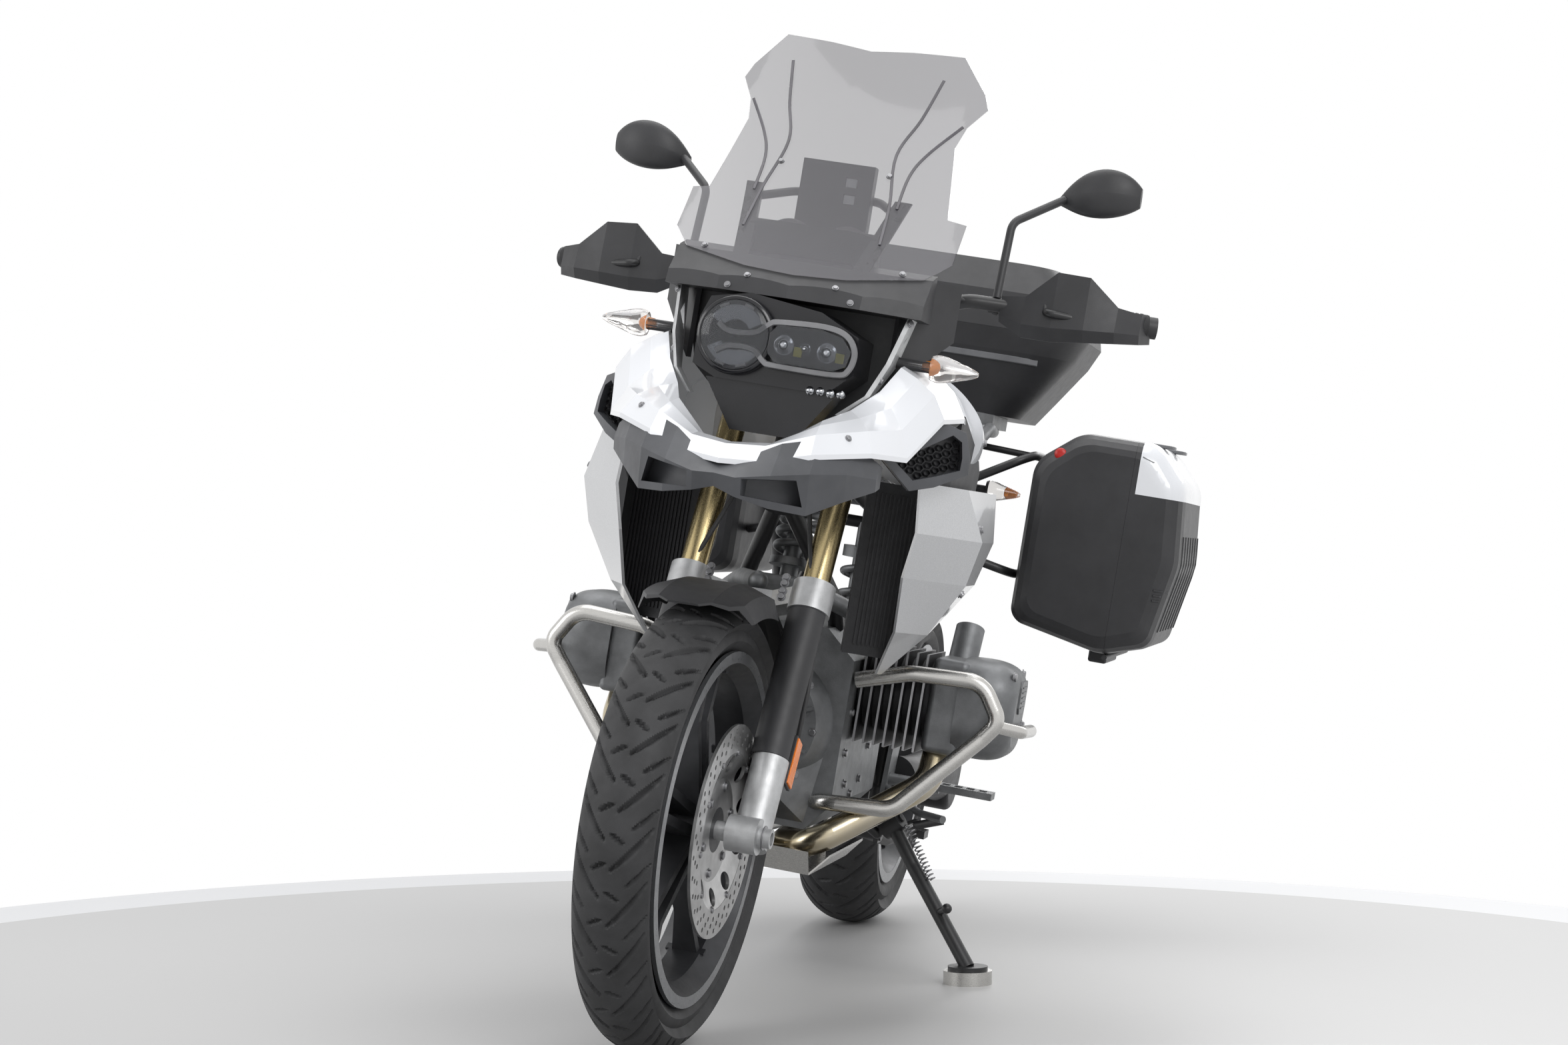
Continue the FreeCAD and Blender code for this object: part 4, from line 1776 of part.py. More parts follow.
def make_rear_mudguard():
    """A slim tail with a blank plate behind the rear wheel."""
    wall = size("fender_wall")
    half = size("rear_tyre_width") * 0.42
    start = vec(0, size("rack_front_y") + size("rack_length") * 0.7, size("rack_z") - size("centre_tube_radius") * 5)
    end_y = size("fender_rear_y")
    tail_z = size("rack_z") - size("engine_half_width") * 1.1
    profile = [vec(-half, start.y, start.z), vec(-half, end_y - half * 2.6, start.z - half * 0.3),
               vec(-half, end_y - half * 0.7, tail_z), vec(-half, end_y, tail_z - half * 1.8),
               vec(-half, end_y - wall, tail_z - half * 1.8 - wall),
               vec(-half, end_y - half * 0.7 - wall * 1.6, tail_z - wall),
               vec(-half, end_y - half * 2.6, start.z - half * 0.3 - wall * 1.4),
               vec(-half, start.y, start.z - wall * 1.4)]
    skin = prism(profile, AXIS_X * half * 2)
    solid = skin.cut(at_home("frame")).cut(at_home("rear_rack"))
    return feature("rear_mudguard", solid)


make_rear_rack()
make_case_carriers()
make_rear_mudguard()


# Lamps at the corners


SIGNAL_SHARES = ((0.0, 0.86), (0.12, 1.0), (0.45, 0.82), (0.8, 0.46), (1.0, 0.16))


def signal_lamp(root, reach):
    """One teardrop lamp that points to the left, on a stalk of that reach."""
    tall = size("led_height") * 0.42
    start = root + AXIS_X * reach
    rings = []
    for along, scale in SIGNAL_SHARES:
        centre = start + AXIS_X * size("led_length") * 0.62 * along
        rings.append(smooth_loop([centre + vec(0, tall * 0.9 * scale * math.cos(angle), tall * scale * math.sin(angle))
                                  for angle in ring_angles(8)]))
    stalk = rod(root, start + AXIS_X * size("rim_wall") * 0.2, size("guard_radius") * 0.62)
    return smooth_body(rings).fuse(stalk)


def make_signal_lamps():
    """Four teardrop signals on stalks and a tail lamp."""
    stalk = size("led_height") * 0.5
    half = size("engine_half_width")
    front = vec(size("lamp_half_width") * 1.62, size("lamp_y") + size("lamp_depth") * 0.66, size("lamp_z"))
    front_root = stalk * 1.24
    rear = vec(size("rear_tyre_width") * 0.42, size("fender_rear_y") - size("lamp_depth") * 1.07,
               size("rack_z") - half * 0.87)
    rear_root = stalk * 0.6
    shapes = []
    for place_at, root in ((front, front_root), (rear, rear_root)):
        lamp = signal_lamp(place_at - AXIS_X * root, root + stalk)
        shapes += [lamp, mirrored(lamp)]
    deep = size("led_height") * 0.7
    tail = vec(0, size("fender_rear_y") - size("lamp_depth") * 0.62, size("rack_z") - half * 0.98)
    reach = vec(size("led_length") / 2, deep, 0)
    glow = block(tail - reach, tail + reach + AXIS_Z * deep * 1.5)
    shapes.append(glow.makeFillet(deep * 0.4, glow.Edges))
    solid = Part.makeCompound(shapes)
    for name in ("lamp_brackets", "cockpit", "rear_mudguard", "headlamp", "nose_panel"):
        solid = solid.cut(at_home(name))
    return feature("signal_lamps", solid)


make_signal_lamps()


# Cases


LOOP_ROOM_SHARE = 0.46
CASE_END_SHARES = ((0.0, 0.52), (0.06, 0.33), (0.22, 0.16), (0.5, 0.045), (1.0, 0.0))
SIDE_CASE_SHARES = (
    # corners of the section seen along the bike: across, upward and the corner's rounding
    (0.0, 0.09, 0.5), (0.0, 0.84, 0.9), (0.27, 1.0, 1.1), (0.76, 1.0, 0.9), (0.955, 0.83, 0.9), (1.0, 0.46, 1.6),
    (0.90, 0.07, 0.5), (0.60, 0.0, 1.2))


def rounded_loop(points, roundings):
    """A closed outline of straight runs with an arc at each corner."""
    arcs = []
    count = len(points)
    for index, corner in enumerate(points):
        inward = points[index - 1] - corner
        outward = points[(index + 1) % count] - corner
        room = min(inward.Length, outward.Length) * LOOP_ROOM_SHARE
        half_turn = (math.pi - inward.getAngle(outward)) / 2
        trim = min(roundings[index] * math.tan(half_turn), room)
        reach = trim / math.tan(half_turn) * (1 / math.cos(half_turn) - 1)
        inward.normalize()
        outward.normalize()
        middle = corner + (inward + outward).normalize() * reach
        arcs.append((corner + inward * trim, middle, corner + outward * trim))
    edges = []
    for index, arc in enumerate(arcs):
        edges.append(Part.Arc(*arc).toShape())
        edges.append(Part.LineSegment(arc[2], arcs[(index + 1) % count][0]).toShape())
    return Part.Wire(edges)


def case_ring(y, inset):
    """The rounded section of a side case, drawn in from its outline by an inset."""
    wide = size("sidecase_width") - inset * 2
    tall = size("sidecase_height") - inset * 2
    points = []
    roundings = []
    for across, upward, rounding in SIDE_CASE_SHARES:
        points.append(vec(size("sidecase_inner_x") + inset + across * wide, y,
                          size("sidecase_low_z") + inset + upward * tall))
        roundings.append(rounding * size("case_round"))
    return rounded_loop(points, roundings)


def case_form(inset):
    """A side case's solid form with rounded ends, one inset smaller all round."""
    front = size("sidecase_front_y") + inset
    rear = size("sidecase_front_y") + size("sidecase_length") - inset
    rounding = size("case_round")
    wires = []
    for back, shrink in CASE_END_SHARES:
        wires.append(case_ring(front + rounding * back, inset + rounding * shrink))
    for back, shrink in reversed(CASE_END_SHARES):
        wires.append(case_ring(rear - rounding * back, inset + rounding * shrink))
    return skinned(wires, True)


def hollow_of(outer, wall):
    """The same form one wall smaller all round."""
    box = outer.BoundBox
    scale = FreeCAD.Matrix()
    scale.move(-box.Center.x, -box.Center.y, -box.Center.z)
    scale.scale(1 - 2 * wall / box.XLength, 1 - 2 * wall / box.YLength, 1 - 2 * wall / box.ZLength)
    scale.move(box.Center.x, box.Center.y, box.Center.z)
    return outer.transformGeometry(scale)


def make_side_cases():
    """Two hollow cases whose outer halves hinge at the bottom."""
    front = size("sidecase_front_y")
    long = size("sidecase_length")
    low = size("sidecase_low_z")
    tall = size("sidecase_height")
    inner = size("sidecase_inner_x")
    shell = case_form(0).cut(case_form(size("case_wall")))
    split = inner + size("sidecase_width") * size("sidecase_split_share")
    reach = size("sidecase_width") * 2
    inside = block(vec(inner - reach, front - reach, low - reach), vec(split, front + long + reach, low + tall + reach))
    pin = vec(split, front + long * 0.08, low - size("hinge_radius") * 0.6)
    run = AXIS_Y * long * 0.84
    barrel = rod(pin, pin + run, size("hinge_radius"))
    foot_low = low - size("case_foot_depth")
    foot_wide = size("case_foot_width")
    foot = block(vec(split - foot_wide - size("hinge_radius"), front + long * 0.3, foot_low),
                 vec(split - size("hinge_radius"), front + long * 0.7, low + size("case_wall")))
    foot = foot.makeFillet(size("hinge_radius"), foot.Edges).cut(case_form(size("case_wall")))
    base = shell.common(inside).fuse([barrel, foot])
    lid = shell.cut(block(vec(inner - reach, front - reach, low - reach),
                          vec(split + size("seat_gap"), front + long + reach, low + tall + reach)))
    lid = lid.cut(rod(pin - run, pin + run * 2, size("hinge_radius") + size("pin_gap")))
    for side, name in ((1, "left"), (-1, "right")):
        first = base if side > 0 else mirrored(base)
        second = lid if side > 0 else mirrored(lid)
        feature(f"side_case_{name}", first)
        feature(f"side_case_{name}_lid", second)


TOPCASE_ROW_SHARES = (
    # height, half width, and how far the ends draw in
    (0.0, 0.62, 0.10), (0.16, 0.74, 0.07), (0.42, 0.93, 0.02), (0.56, 1.0, 0.0), (0.8, 0.95, 0.02), (1.0, 0.72, 0.12))


def make_top_case():
    """A hollow top case whose lid hinges at its front edge."""
    half = size("topcase_width") / 2
    front = size("topcase_front_y")
    long = size("topcase_length")
    low = size("topcase_low_z")
    tall = size("topcase_height")
    split = low + tall * size("topcase_split_share")
    rows = []
    for share, wide, in_front in TOPCASE_ROW_SHARES:
        rows.append(rounded_ring(half * wide, front + long * in_front, front + long * (1 - in_front * 0.6),
                                 low + tall * share, half * wide * 0.38))
    whole = skinned(rows, True)
    shell = whole.cut(hollow_of(whole, size("case_wall")))
    reach = half * 3
    below = block(vec(-reach, front - reach, low - reach), vec(reach, front + reach, split))
    above = block(vec(-reach, front - reach, split + size("seat_gap")), vec(reach, front + reach, low + tall + reach))
    feature("top_case", shell.common(below))
    feature("top_case_lid", shell.common(above))


def rounded_ring(half, front, rear, z, rounding):
    """A level outline with four equal corner arcs."""
    corners = [vec(half, front, z), vec(half, rear, z), vec(-half, rear, z), vec(-half, front, z)]
    return rounded_loop(corners, [rounding] * len(corners))


make_side_cases()
make_top_case()


# Stands


def make_side_stand():
    """The leg with its bored lug, a kick peg with a knob and the foot that stands on a round disc."""
    pivot = stand_pivot()
    line = stand_line()
    disc_low = upright_point(size("puck_x"), size("puck_y"), 0)
    disc_high = upright_point(size("puck_x"), size("puck_y"), size("puck_height"))
    up = (disc_high - disc_low).normalize()
    radius = size("stand_tube_radius")
    disc = doc.addObject("Part::Cylinder", "stand_puck")
    disc.setExpression("Radius", cell("puck_radius").text)
    disc.setExpression("Height", cell("puck_height").text)
    disc.Placement = FreeCAD.Placement(disc_low, FreeCAD.Rotation(AXIS_Z, up))
    place(disc, "stand_puck")
    foot = Part.makeCylinder(size("puck_radius") * 0.82, size("foot_thickness"), disc_high, up)
    ankle = disc_high + up * (size("foot_thickness") * 0.6)
    knee = pivot + (ankle - pivot) * 0.3 + vec(-radius * 0.3, radius * 0.5, 0)
    leg = tube([pivot, knee, ankle], radius, size("guard_bend"))
    lug = rod(pivot - line * radius * 1.5, pivot + line * radius * 1.5, radius * 1.6)
    peg_base = pivot + (ankle - pivot) * 0.62
    peg_tip = peg_base + vec(radius * 1.5, -radius * 3.4, radius * 1.2)
    peg = rod(peg_base, peg_tip, radius * 0.45)
    knob = Part.makeSphere(radius * 0.7, peg_tip)
    bore = rod(pivot - line * radius * 3, pivot + line * radius * 3, radius * 0.6 + size("pin_gap"))
    disc_room = rod(disc_low, disc_high, size("puck_radius"))
    return feature("side_stand", fused([foot, leg, lug, peg, knob]).cut(bore).cut(disc_room))


def make_centre_stand():
    """Two legs folded back under the engine, joined by a cross bar."""
    radius = size("centre_tube_radius")
    y = centre_stand_pivot().y
    z = centre_stand_pivot().z
    half = size("centre_half_width")
    length = size("centre_leg_length")
    shapes = [rod(vec(-half, y, z), vec(half, y, z), radius)]
    for side in SIDES:
        knee = vec(side * half * 0.9, y + length * 0.5, z - radius * 1.8)
        toe = vec(side * half * 1.12, y + length, z - radius * 0.6)
        shapes.append(tube([vec(side * half * 0.74, y, z), knee, toe], radius, size("guard_bend")))
        shapes.append(block(toe - vec(radius * 1.6, radius * 1.2, radius * 1.5), toe + vec(radius * 1.6, radius * 2.4, -radius * 0.4)))
    shapes.append(rod(vec(-half * 0.9, y + length * 0.42, z - radius * 1.5), vec(half * 0.9, y + length * 0.42, z - radius * 1.5), radius * 0.8))
    tang = rod(vec(half * 1.12, y + length * 0.9, z - radius * 0.4), vec(half * 1.5, y + length * 0.95, z + radius), radius * 0.6)
    shapes.append(tang)
    return feature("centre_stand", fused(shapes))


make_side_stand()
make_centre_stand()


# Check and write

doc.recompute()
for item in doc.Objects:
    if "Invalid" in item.State or "Error" in item.State:
        raise RuntimeError(f"{item.Label} failed: {item.State}")
for item in subparts:
    if item.Shape.isNull() or not item.Shape.isValid():
        raise RuntimeError(f"{item.Label} has no valid shape")
os.makedirs("parts", exist_ok=True)
for item in subparts:
    item.Shape.exportStep(f"parts/{item.Label}.step")
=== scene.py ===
import json
import math

import bmesh
import bpy
from mathutils import Matrix, Vector
from mathutils.bvhtree import BVHTree

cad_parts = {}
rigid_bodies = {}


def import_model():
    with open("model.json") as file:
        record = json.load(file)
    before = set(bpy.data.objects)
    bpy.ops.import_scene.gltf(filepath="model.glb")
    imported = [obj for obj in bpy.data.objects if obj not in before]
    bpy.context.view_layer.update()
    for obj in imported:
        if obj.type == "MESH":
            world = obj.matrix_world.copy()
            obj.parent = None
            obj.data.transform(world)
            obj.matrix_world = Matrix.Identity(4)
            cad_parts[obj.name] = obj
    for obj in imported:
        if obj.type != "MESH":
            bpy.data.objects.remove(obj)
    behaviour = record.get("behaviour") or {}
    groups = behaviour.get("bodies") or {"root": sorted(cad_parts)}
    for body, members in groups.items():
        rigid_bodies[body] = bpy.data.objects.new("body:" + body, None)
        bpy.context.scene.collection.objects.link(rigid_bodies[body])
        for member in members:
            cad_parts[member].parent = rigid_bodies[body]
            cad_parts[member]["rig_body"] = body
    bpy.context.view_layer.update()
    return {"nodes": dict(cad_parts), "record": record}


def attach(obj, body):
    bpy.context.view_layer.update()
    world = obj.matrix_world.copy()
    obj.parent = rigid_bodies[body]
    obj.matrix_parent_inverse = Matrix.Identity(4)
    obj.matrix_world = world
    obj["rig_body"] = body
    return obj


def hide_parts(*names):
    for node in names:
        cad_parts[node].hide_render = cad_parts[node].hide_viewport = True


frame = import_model()

# Placements: the upright bike's axes in millimetres (x left, y back, z up), and the frame's in metres

MM = 0.001
LEAN = math.radians(9.6)
RAKE = math.radians(25.7)
TRAIL = 100
STEER_REST = math.radians(-3.5)
WHEELBASE = 1507
FRONT_CROWN = 62
REAR_CROWN = 92
FRONT_DIP = FRONT_CROWN * (1 - math.cos(LEAN))
REAR_DIP = REAR_CROWN * (1 - math.cos(LEAN))
PITCH = math.asin((REAR_DIP - FRONT_DIP) / WHEELBASE)
HOME = Vector((-130, -771, FRONT_DIP))
STEER_BASE = Vector((0, -TRAIL, 0))
STEER_AXIS = Vector((0, math.sin(RAKE), math.cos(RAKE)))
STEER_FORWARD = Vector((0, -math.cos(RAKE), math.sin(RAKE)))
FRONT_AXLE = Vector((0, 0, 325))
REAR_AXLE = Vector((0, WHEELBASE, 318))
AHEAD = Vector((0, -1, 0))
BACK = Vector((0, 1, 0))
DOWN = Vector((0, 0, -1))

SCALE = Matrix.Scale(MM, 4)
CHASSIS = SCALE @ Matrix.Translation(HOME) @ Matrix.Rotation(PITCH, 4, "X") @ Matrix.Rotation(LEAN, 4, "Y")
STEERED = (CHASSIS @ Matrix.Translation(STEER_BASE) @ Matrix.Rotation(STEER_REST, 4, STEER_AXIS)
           @ Matrix.Translation(-STEER_BASE))
PLACES = {"root": CHASSIS, "steering": STEERED, "front_wheel": STEERED, "rear_wheel": CHASSIS,
          "side_stand": CHASSIS, "centre_stand": CHASSIS, "left_lid": CHASSIS, "right_lid": CHASSIS,
          "top_lid": CHASSIS}
SIDES = (1, -1)
LABELS = {1: "left", -1: "right"}
SQUARE = ((-1, -1), (1, -1), (1, 1), (-1, 1))


def fork_point(x, forward, along):
    """A point beside, ahead of and along the steering axis."""
    return STEER_BASE + Vector((x, 0, 0)) + STEER_FORWARD * forward + STEER_AXIS * along


def turns(count, start=0.0):
    """Angles spread evenly around a circle."""
    return [start + 2 * math.pi * k / count for k in range(count)]


# Materials


def wired(tree, kind, feeds, **settings):
    """A new shader node whose sockets take constants or other nodes' outputs."""
    node = tree.nodes.new("ShaderNode" + kind)
    for name, value in settings.items():
        setattr(node, name, value)
    for socket, value in feeds.items():
        if isinstance(value, bpy.types.NodeSocket):
            tree.links.new(value, node.inputs[socket])
        else:
            node.inputs[socket].default_value = value
    return node


def tint(color, factor):
    return tuple(min(channel * factor, 1.0) for channel in color)


class Shader:
    """A material with one Principled shader and short ways to feed it."""

    def __init__(self, name, color, rough=0.5, metal=0.0):
        self.material = bpy.data.materials.new(name)
        self.material.use_nodes = True
        self.tree = self.material.node_tree
        self.sockets = self.tree.nodes["Principled BSDF"].inputs
        self.put("Base Color", (*color, 1.0))
        self.put("Roughness", rough)
        self.put("Metallic", metal)
        self.place = wired(self.tree, "TexCoord", {}).outputs["Object"]

    def put(self, socket, value):
        self.sockets[socket].default_value = value

    def feed(self, socket, output):
        self.tree.links.new(output, self.sockets[socket])

    def noise(self, scale, detail=4.0, rough=0.55):
        feeds = {"Scale": scale, "Detail": detail, "Roughness": rough, "Vector": self.place}
        return wired(self.tree, "TexNoise", feeds).outputs["Fac"]

    def cells(self, scale):
        return wired(self.tree, "TexVoronoi", {"Scale": scale, "Vector": self.place}).outputs["Distance"]

    def stretched(self, x, y, z):
        self.place = wired(self.tree, "Mapping", {"Scale": (x, y, z), "Vector": self.place}).outputs["Vector"]
        return self

    def paint(self, fac, stops):
        """Colours at places of a ramp."""
        node = wired(self.tree, "ValToRGB", {"Fac": fac})
        elements = node.color_ramp.elements
        while len(elements) < len(stops):
            elements.new(0.5)
        for element, (position, color) in zip(elements, stops):
            element.position = position
            element.color = (*color, 1.0)
        self.feed("Base Color", node.outputs["Color"])

    def mottle(self, color, fac, dark, light, low=0.3, high=0.7):
        """The colour between a darker and a lighter tint of itself."""
        self.paint(fac, ((low, tint(color, dark)), (high, tint(color, light))))

    def roughen(self, fac, low, high):
        node = wired(self.tree, "MapRange", {"To Min": low, "To Max": high, "Value": fac})
        self.feed("Roughness", node.outputs["Result"])

    def bump(self, fac, strength, distance=0.001):
        """Relief on top of what relief there is."""
        node = wired(self.tree, "Bump", {"Strength": strength, "Distance": distance, "Height": fac})
        before = self.sockets["Normal"].links
        if before:
            self.tree.links.new(before[0].from_socket, node.inputs["Normal"])
        self.feed("Normal", node.outputs["Normal"])


def plastic(name, color, rough, grain=900, depth=0.25):
    made = Shader(name, color, rough)
    made.mottle(color, made.noise(14), 0.8, 1.25)
    made.roughen(made.noise(60), rough - 0.08, rough + 0.08)
    made.bump(made.noise(grain, 2.0), depth, 0.0004)
    return made.material


def cast_metal(name, color, rough, metal=0.9, grain=420, depth=0.35):
    made = Shader(name, color, rough, metal)
    made.mottle(color, made.noise(30), 0.75, 1.2, 0.25, 0.75)
    made.roughen(made.noise(90), rough - 0.1, rough + 0.12)
    made.bump(made.noise(grain, 6.0, 0.7), depth, 0.0006)
    return made.material


def brushed(name, color, rough, stretch=(1, 60, 60), metal=1.0):
    made = Shader(name, color, rough, metal).stretched(*stretch)
    made.mottle(color, made.noise(18), 0.85, 1.1, 0.2, 0.8)
    made.roughen(made.noise(26), rough - 0.1, rough + 0.12)
    made.bump(made.noise(40, 2.0), 0.12, 0.0003)
    return made.material


def paint_coat(name, color, rough, flake=0.0, metal=0.0):
    made = Shader(name, color, rough, metal)
    made.put("Coat Weight", 0.8)
    made.put("Coat Roughness", 0.06)
    made.mottle(color, made.noise(900 if flake else 5, 1.0), 1.0 - flake, 1.0 + flake / 2)
    made.roughen(made.noise(8), rough - 0.04, rough + 0.06)
    made.bump(made.noise(160, 2.0), 0.03, 0.0002)
    return made.material


def clear(name, color, rough, transmission, ior=1.45):
    made = Shader(name, color, rough)
    made.put("Transmission Weight", transmission)
    made.put("IOR", ior)
    made.roughen(made.noise(30), rough, rough + 0.04)
    made.mottle(color, made.noise(6), 0.94, 1.06)
    made.bump(made.noise(24, 1.0), 0.02, 0.0003)
    return made.material


def rubber(name, color, rough=0.62):
    made = Shader(name, color, rough)
    made.mottle(color, made.noise(22), 0.75, 1.45)
    made.roughen(made.noise(45), rough - 0.1, rough + 0.14)
    made.bump(made.noise(700, 3.0), 0.3, 0.0004)
    return made.material


def leather(name, color):
    made = Shader(name, color)
    made.mottle(color, made.noise(9), 0.8, 1.3)
    made.roughen(made.noise(30), 0.45, 0.68)
    made.bump(made.cells(520), 0.35, 0.0006)
    made.bump(made.noise(900, 2.0), 0.2, 0.0003)
    return made.material


def smoked():
    """A thin smoked sheet that shows what is behind it."""
    made = Shader("smoked_screen", (0.07, 0.065, 0.08))
    made.put("Alpha", 0.40)
    made.put("Coat Weight", 0.6)
    made.put("Coat Roughness", 0.03)
    made.paint(made.noise(2, 1.0), ((0.3, (0.060, 0.056, 0.068)), (0.7, (0.085, 0.078, 0.098))))
    made.roughen(made.noise(12), 0.04, 0.10)
    made.bump(made.noise(10, 1.0), 0.02, 0.0003)
    return made.material


def header_steel():
    """Polished pipe, straw and brown where it runs hot in front, plain steel behind."""
    made = Shader("header_steel", (0.5, 0.46, 0.38), 0.2, 1.0)
    parts = wired(made.tree, "SeparateXYZ", {"Vector": made.place})
    cooler = wired(made.tree, "MapRange", {"From Min": -0.20, "From Max": 0.10, "Value": parts.outputs["Y"]})
    total = wired(made.tree, "Math", {0: made.noise(7, 5.0), 1: 0.5, 2: cooler.outputs["Result"]},
                  operation="MULTIPLY_ADD")
    made.paint(total.outputs[0], ((0.12, (0.28, 0.20, 0.11)), (0.24, (0.50, 0.43, 0.29)),
                                  (0.38, (0.58, 0.55, 0.49)), (0.9, (0.52, 0.52, 0.51))))
    made.roughen(made.noise(40), 0.14, 0.32)
    made.bump(made.noise(60, 2.0), 0.05, 0.0003)
    return made.material


LOOKS = {
    "painted_white": paint_coat("gloss_white", (0.80, 0.81, 0.83), 0.22),
    "silver_paint": paint_coat("satin_silver", (0.56, 0.565, 0.575), 0.34, 0.12, 0.55),
    "dark_plastic": plastic("black_plastic", (0.024, 0.024, 0.026), 0.48),
    "grey_plastic": plastic("dark_grey_plastic", (0.062, 0.064, 0.07), 0.46, 1100, 0.3),
    "smoke_glass": smoked(),
    "lamp_glass": plastic("lamp_housing", (0.012, 0.012, 0.014), 0.22, 300, 0.05),
    "signal_lens": clear("clear_lens", (0.86, 0.84, 0.82), 0.06, 0.9),
    "cast_aluminium": cast_metal("grey_casting", (0.19, 0.195, 0.20), 0.46, 0.75),
    "black_engine": cast_metal("black_casting", (0.022, 0.022, 0.024), 0.5, 0.35),
    "stainless": brushed("stainless", (0.56, 0.55, 0.53), 0.26),
    "header_steel": header_steel(),
    "gold_tube": brushed("gold_anodised", (0.56, 0.45, 0.24), 0.26, (60, 60, 1)),
    "light_casting": cast_metal("light_casting", (0.52, 0.525, 0.53), 0.42, 0.7),
    "black_steel": plastic("black_coat", (0.016, 0.016, 0.017), 0.38, 240, 0.2),
    "wheel_cast": cast_metal("wheel_paint", (0.055, 0.056, 0.06), 0.4, 0.5, 700, 0.2),
    "disc_steel": cast_metal("ground_steel", (0.46, 0.46, 0.46), 0.34, 0.95, 900, 0.06),
    "tyre": rubber("tyre_rubber", (0.024, 0.024, 0.025)),
    "seat_cover": leather("seat_leather", (0.028, 0.028, 0.03)),
    "bezel": plastic("gloss_black_trim", (0.010, 0.010, 0.012), 0.16, 240, 0.04),
    "trim": plastic("lamp_frame", (0.20, 0.20, 0.205), 0.38, 400, 0.1),
    "lamp_mirror": brushed("lamp_mirror", (0.42, 0.43, 0.45), 0.16, (30, 30, 6)),
    "lens": clear("lamp_lens", (0.46, 0.47, 0.49), 0.02, 0.93, 1.3),
    # painted light: a pale plastic for the light seen through the screen holders' windows
    "window_light": plastic("painted_window_light", (0.62, 0.64, 0.66), 0.2, 200, 0.04),
    "chip": plastic("yellow_chip", (0.50, 0.46, 0.06), 0.4, 500, 0.1),
    "amber": clear("amber_bulb", (0.85, 0.28, 0.02), 0.12, 0.35),
    "fold": plastic("screen_fold", (0.085, 0.08, 0.09), 0.25, 200, 0.05),
    "screw": cast_metal("zinc_screw", (0.27, 0.27, 0.28), 0.34, 0.95, 600, 0.1),
    "flange": brushed("machined_flange", (0.26, 0.265, 0.275), 0.30, (40, 4, 4), 0.85),
    "reflector": plastic("orange_reflector", (0.85, 0.20, 0.02), 0.18, 1400, 0.2),
    "hose": rubber("hose_rubber", (0.018, 0.018, 0.019), 0.5),
    "grip": rubber("grip_rubber", (0.022, 0.022, 0.023), 0.72),
    "mirror": cast_metal("mirror_silver", (0.84, 0.86, 0.88), 0.12, 1.0, 60, 0.01),
    "piping": leather("piping_leather", (0.045, 0.045, 0.048)),
    "insert": plastic("grey_insert", (0.13, 0.132, 0.138), 0.4, 800, 0.2),
    "tail_red": plastic("tail_lens_red", (0.36, 0.012, 0.012), 0.12, 1200, 0.25),
    "fin_edge": brushed("fin_edge", (0.34, 0.34, 0.35), 0.34, (4, 40, 4), 0.9),
    "red": plastic("red_catch", (0.42, 0.018, 0.014), 0.34, 600, 0.1),
}
SLOT_OF = {part["node"]: part["material_slot"] for part in frame["record"]["subparts"]}
SLOT_OF["exhaust"] = "header_steel"
for node_name, node in frame["nodes"].items():
    if SLOT_OF.get(node_name):
        node.data.materials.clear()
        node.data.materials.append(LOOKS[SLOT_OF[node_name]])

# Looks at the CAD nodes in the bike's axes


def mesh_of(node_name):
    """A node's triangles, as points and faces."""
    node = frame["nodes"][node_name]
    back = PLACES[node["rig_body"]].inverted()
    points = [back @ vertex.co for vertex in node.data.vertices]
    return points, [tuple(face.vertices) for face in node.data.polygons]


def shape_of(node_name, merge):
    """A node's faces as a bmesh, with corners nearer than merge joined."""
    points, faces = mesh_of(node_name)
    shape = bmesh.new()
    verts = [shape.verts.new(p) for p in points]
    for face in faces:
        try:
            shape.faces.new([verts[i] for i in face])
        except ValueError:
            continue
    bmesh.ops.remove_doubles(shape, verts=shape.verts, dist=merge)
    return shape


TREES = {}


def tree_of(node_name):
    if node_name not in TREES:
        TREES[node_name] = BVHTree.FromPolygons(*mesh_of(node_name))
    return TREES[node_name]


def met(node_name, start, direction):
    """Where a straight look from start first meets a node, and the normal there."""
    return tree_of(node_name).ray_cast(Vector(start), Vector(direction).normalized())[:2]


def hit(node_name, start, direction):
    """The point that a straight look meets, or its start where it misses."""
    return met(node_name, start, direction)[0] or Vector(start)


def seen(node_name, looks):
    """The points that several straight looks at a node meet, without the looks that miss it."""
    found = (met(node_name, start, direction)[0] for start, direction in looks)
    return [point for point in found if point]


# Forms

SHARP = math.radians(38)
RECESS_LIFT = 0.05
SCREW_SEAT = 0.4


def across(axis):
    """Two directions square to an axis."""
    axis = Vector(axis).normalized()
    side = axis.cross(Vector((0, 0, 1)) if abs(axis.z) < 0.9 else Vector((1, 0, 0))).normalized()
    return side, axis.cross(side).normalized()


def ring(centre, side, other, radius, angles):
    """Points around a centre, in the plane of two directions."""
    return [centre + (side * math.cos(a) + other * math.sin(a)) * radius for a in angles]


def run_at(path, i):
    """The direction of a path at one of its points."""
    return (path[min(i + 1, len(path) - 1)] - path[max(i - 1, 0)]).normalized()


def smooth_path(points, steps):
    """A Catmull-Rom path through the points."""
    points = [Vector(p) for p in points]
    last = len(points) - 1
    path = []
    for i in range(last):
        a, b, c, d = (points[min(max(i + k, 0), last)] for k in (-1, 0, 1, 2))
        for step in range(steps):
            t = step / steps
            path.append(0.5 * (2 * b + (c - a) * t + (2 * a - 5 * b + 4 * c - d) * t * t
                               + (3 * b - a - 3 * c + d) * t * t * t))
    return path + [points[-1]]


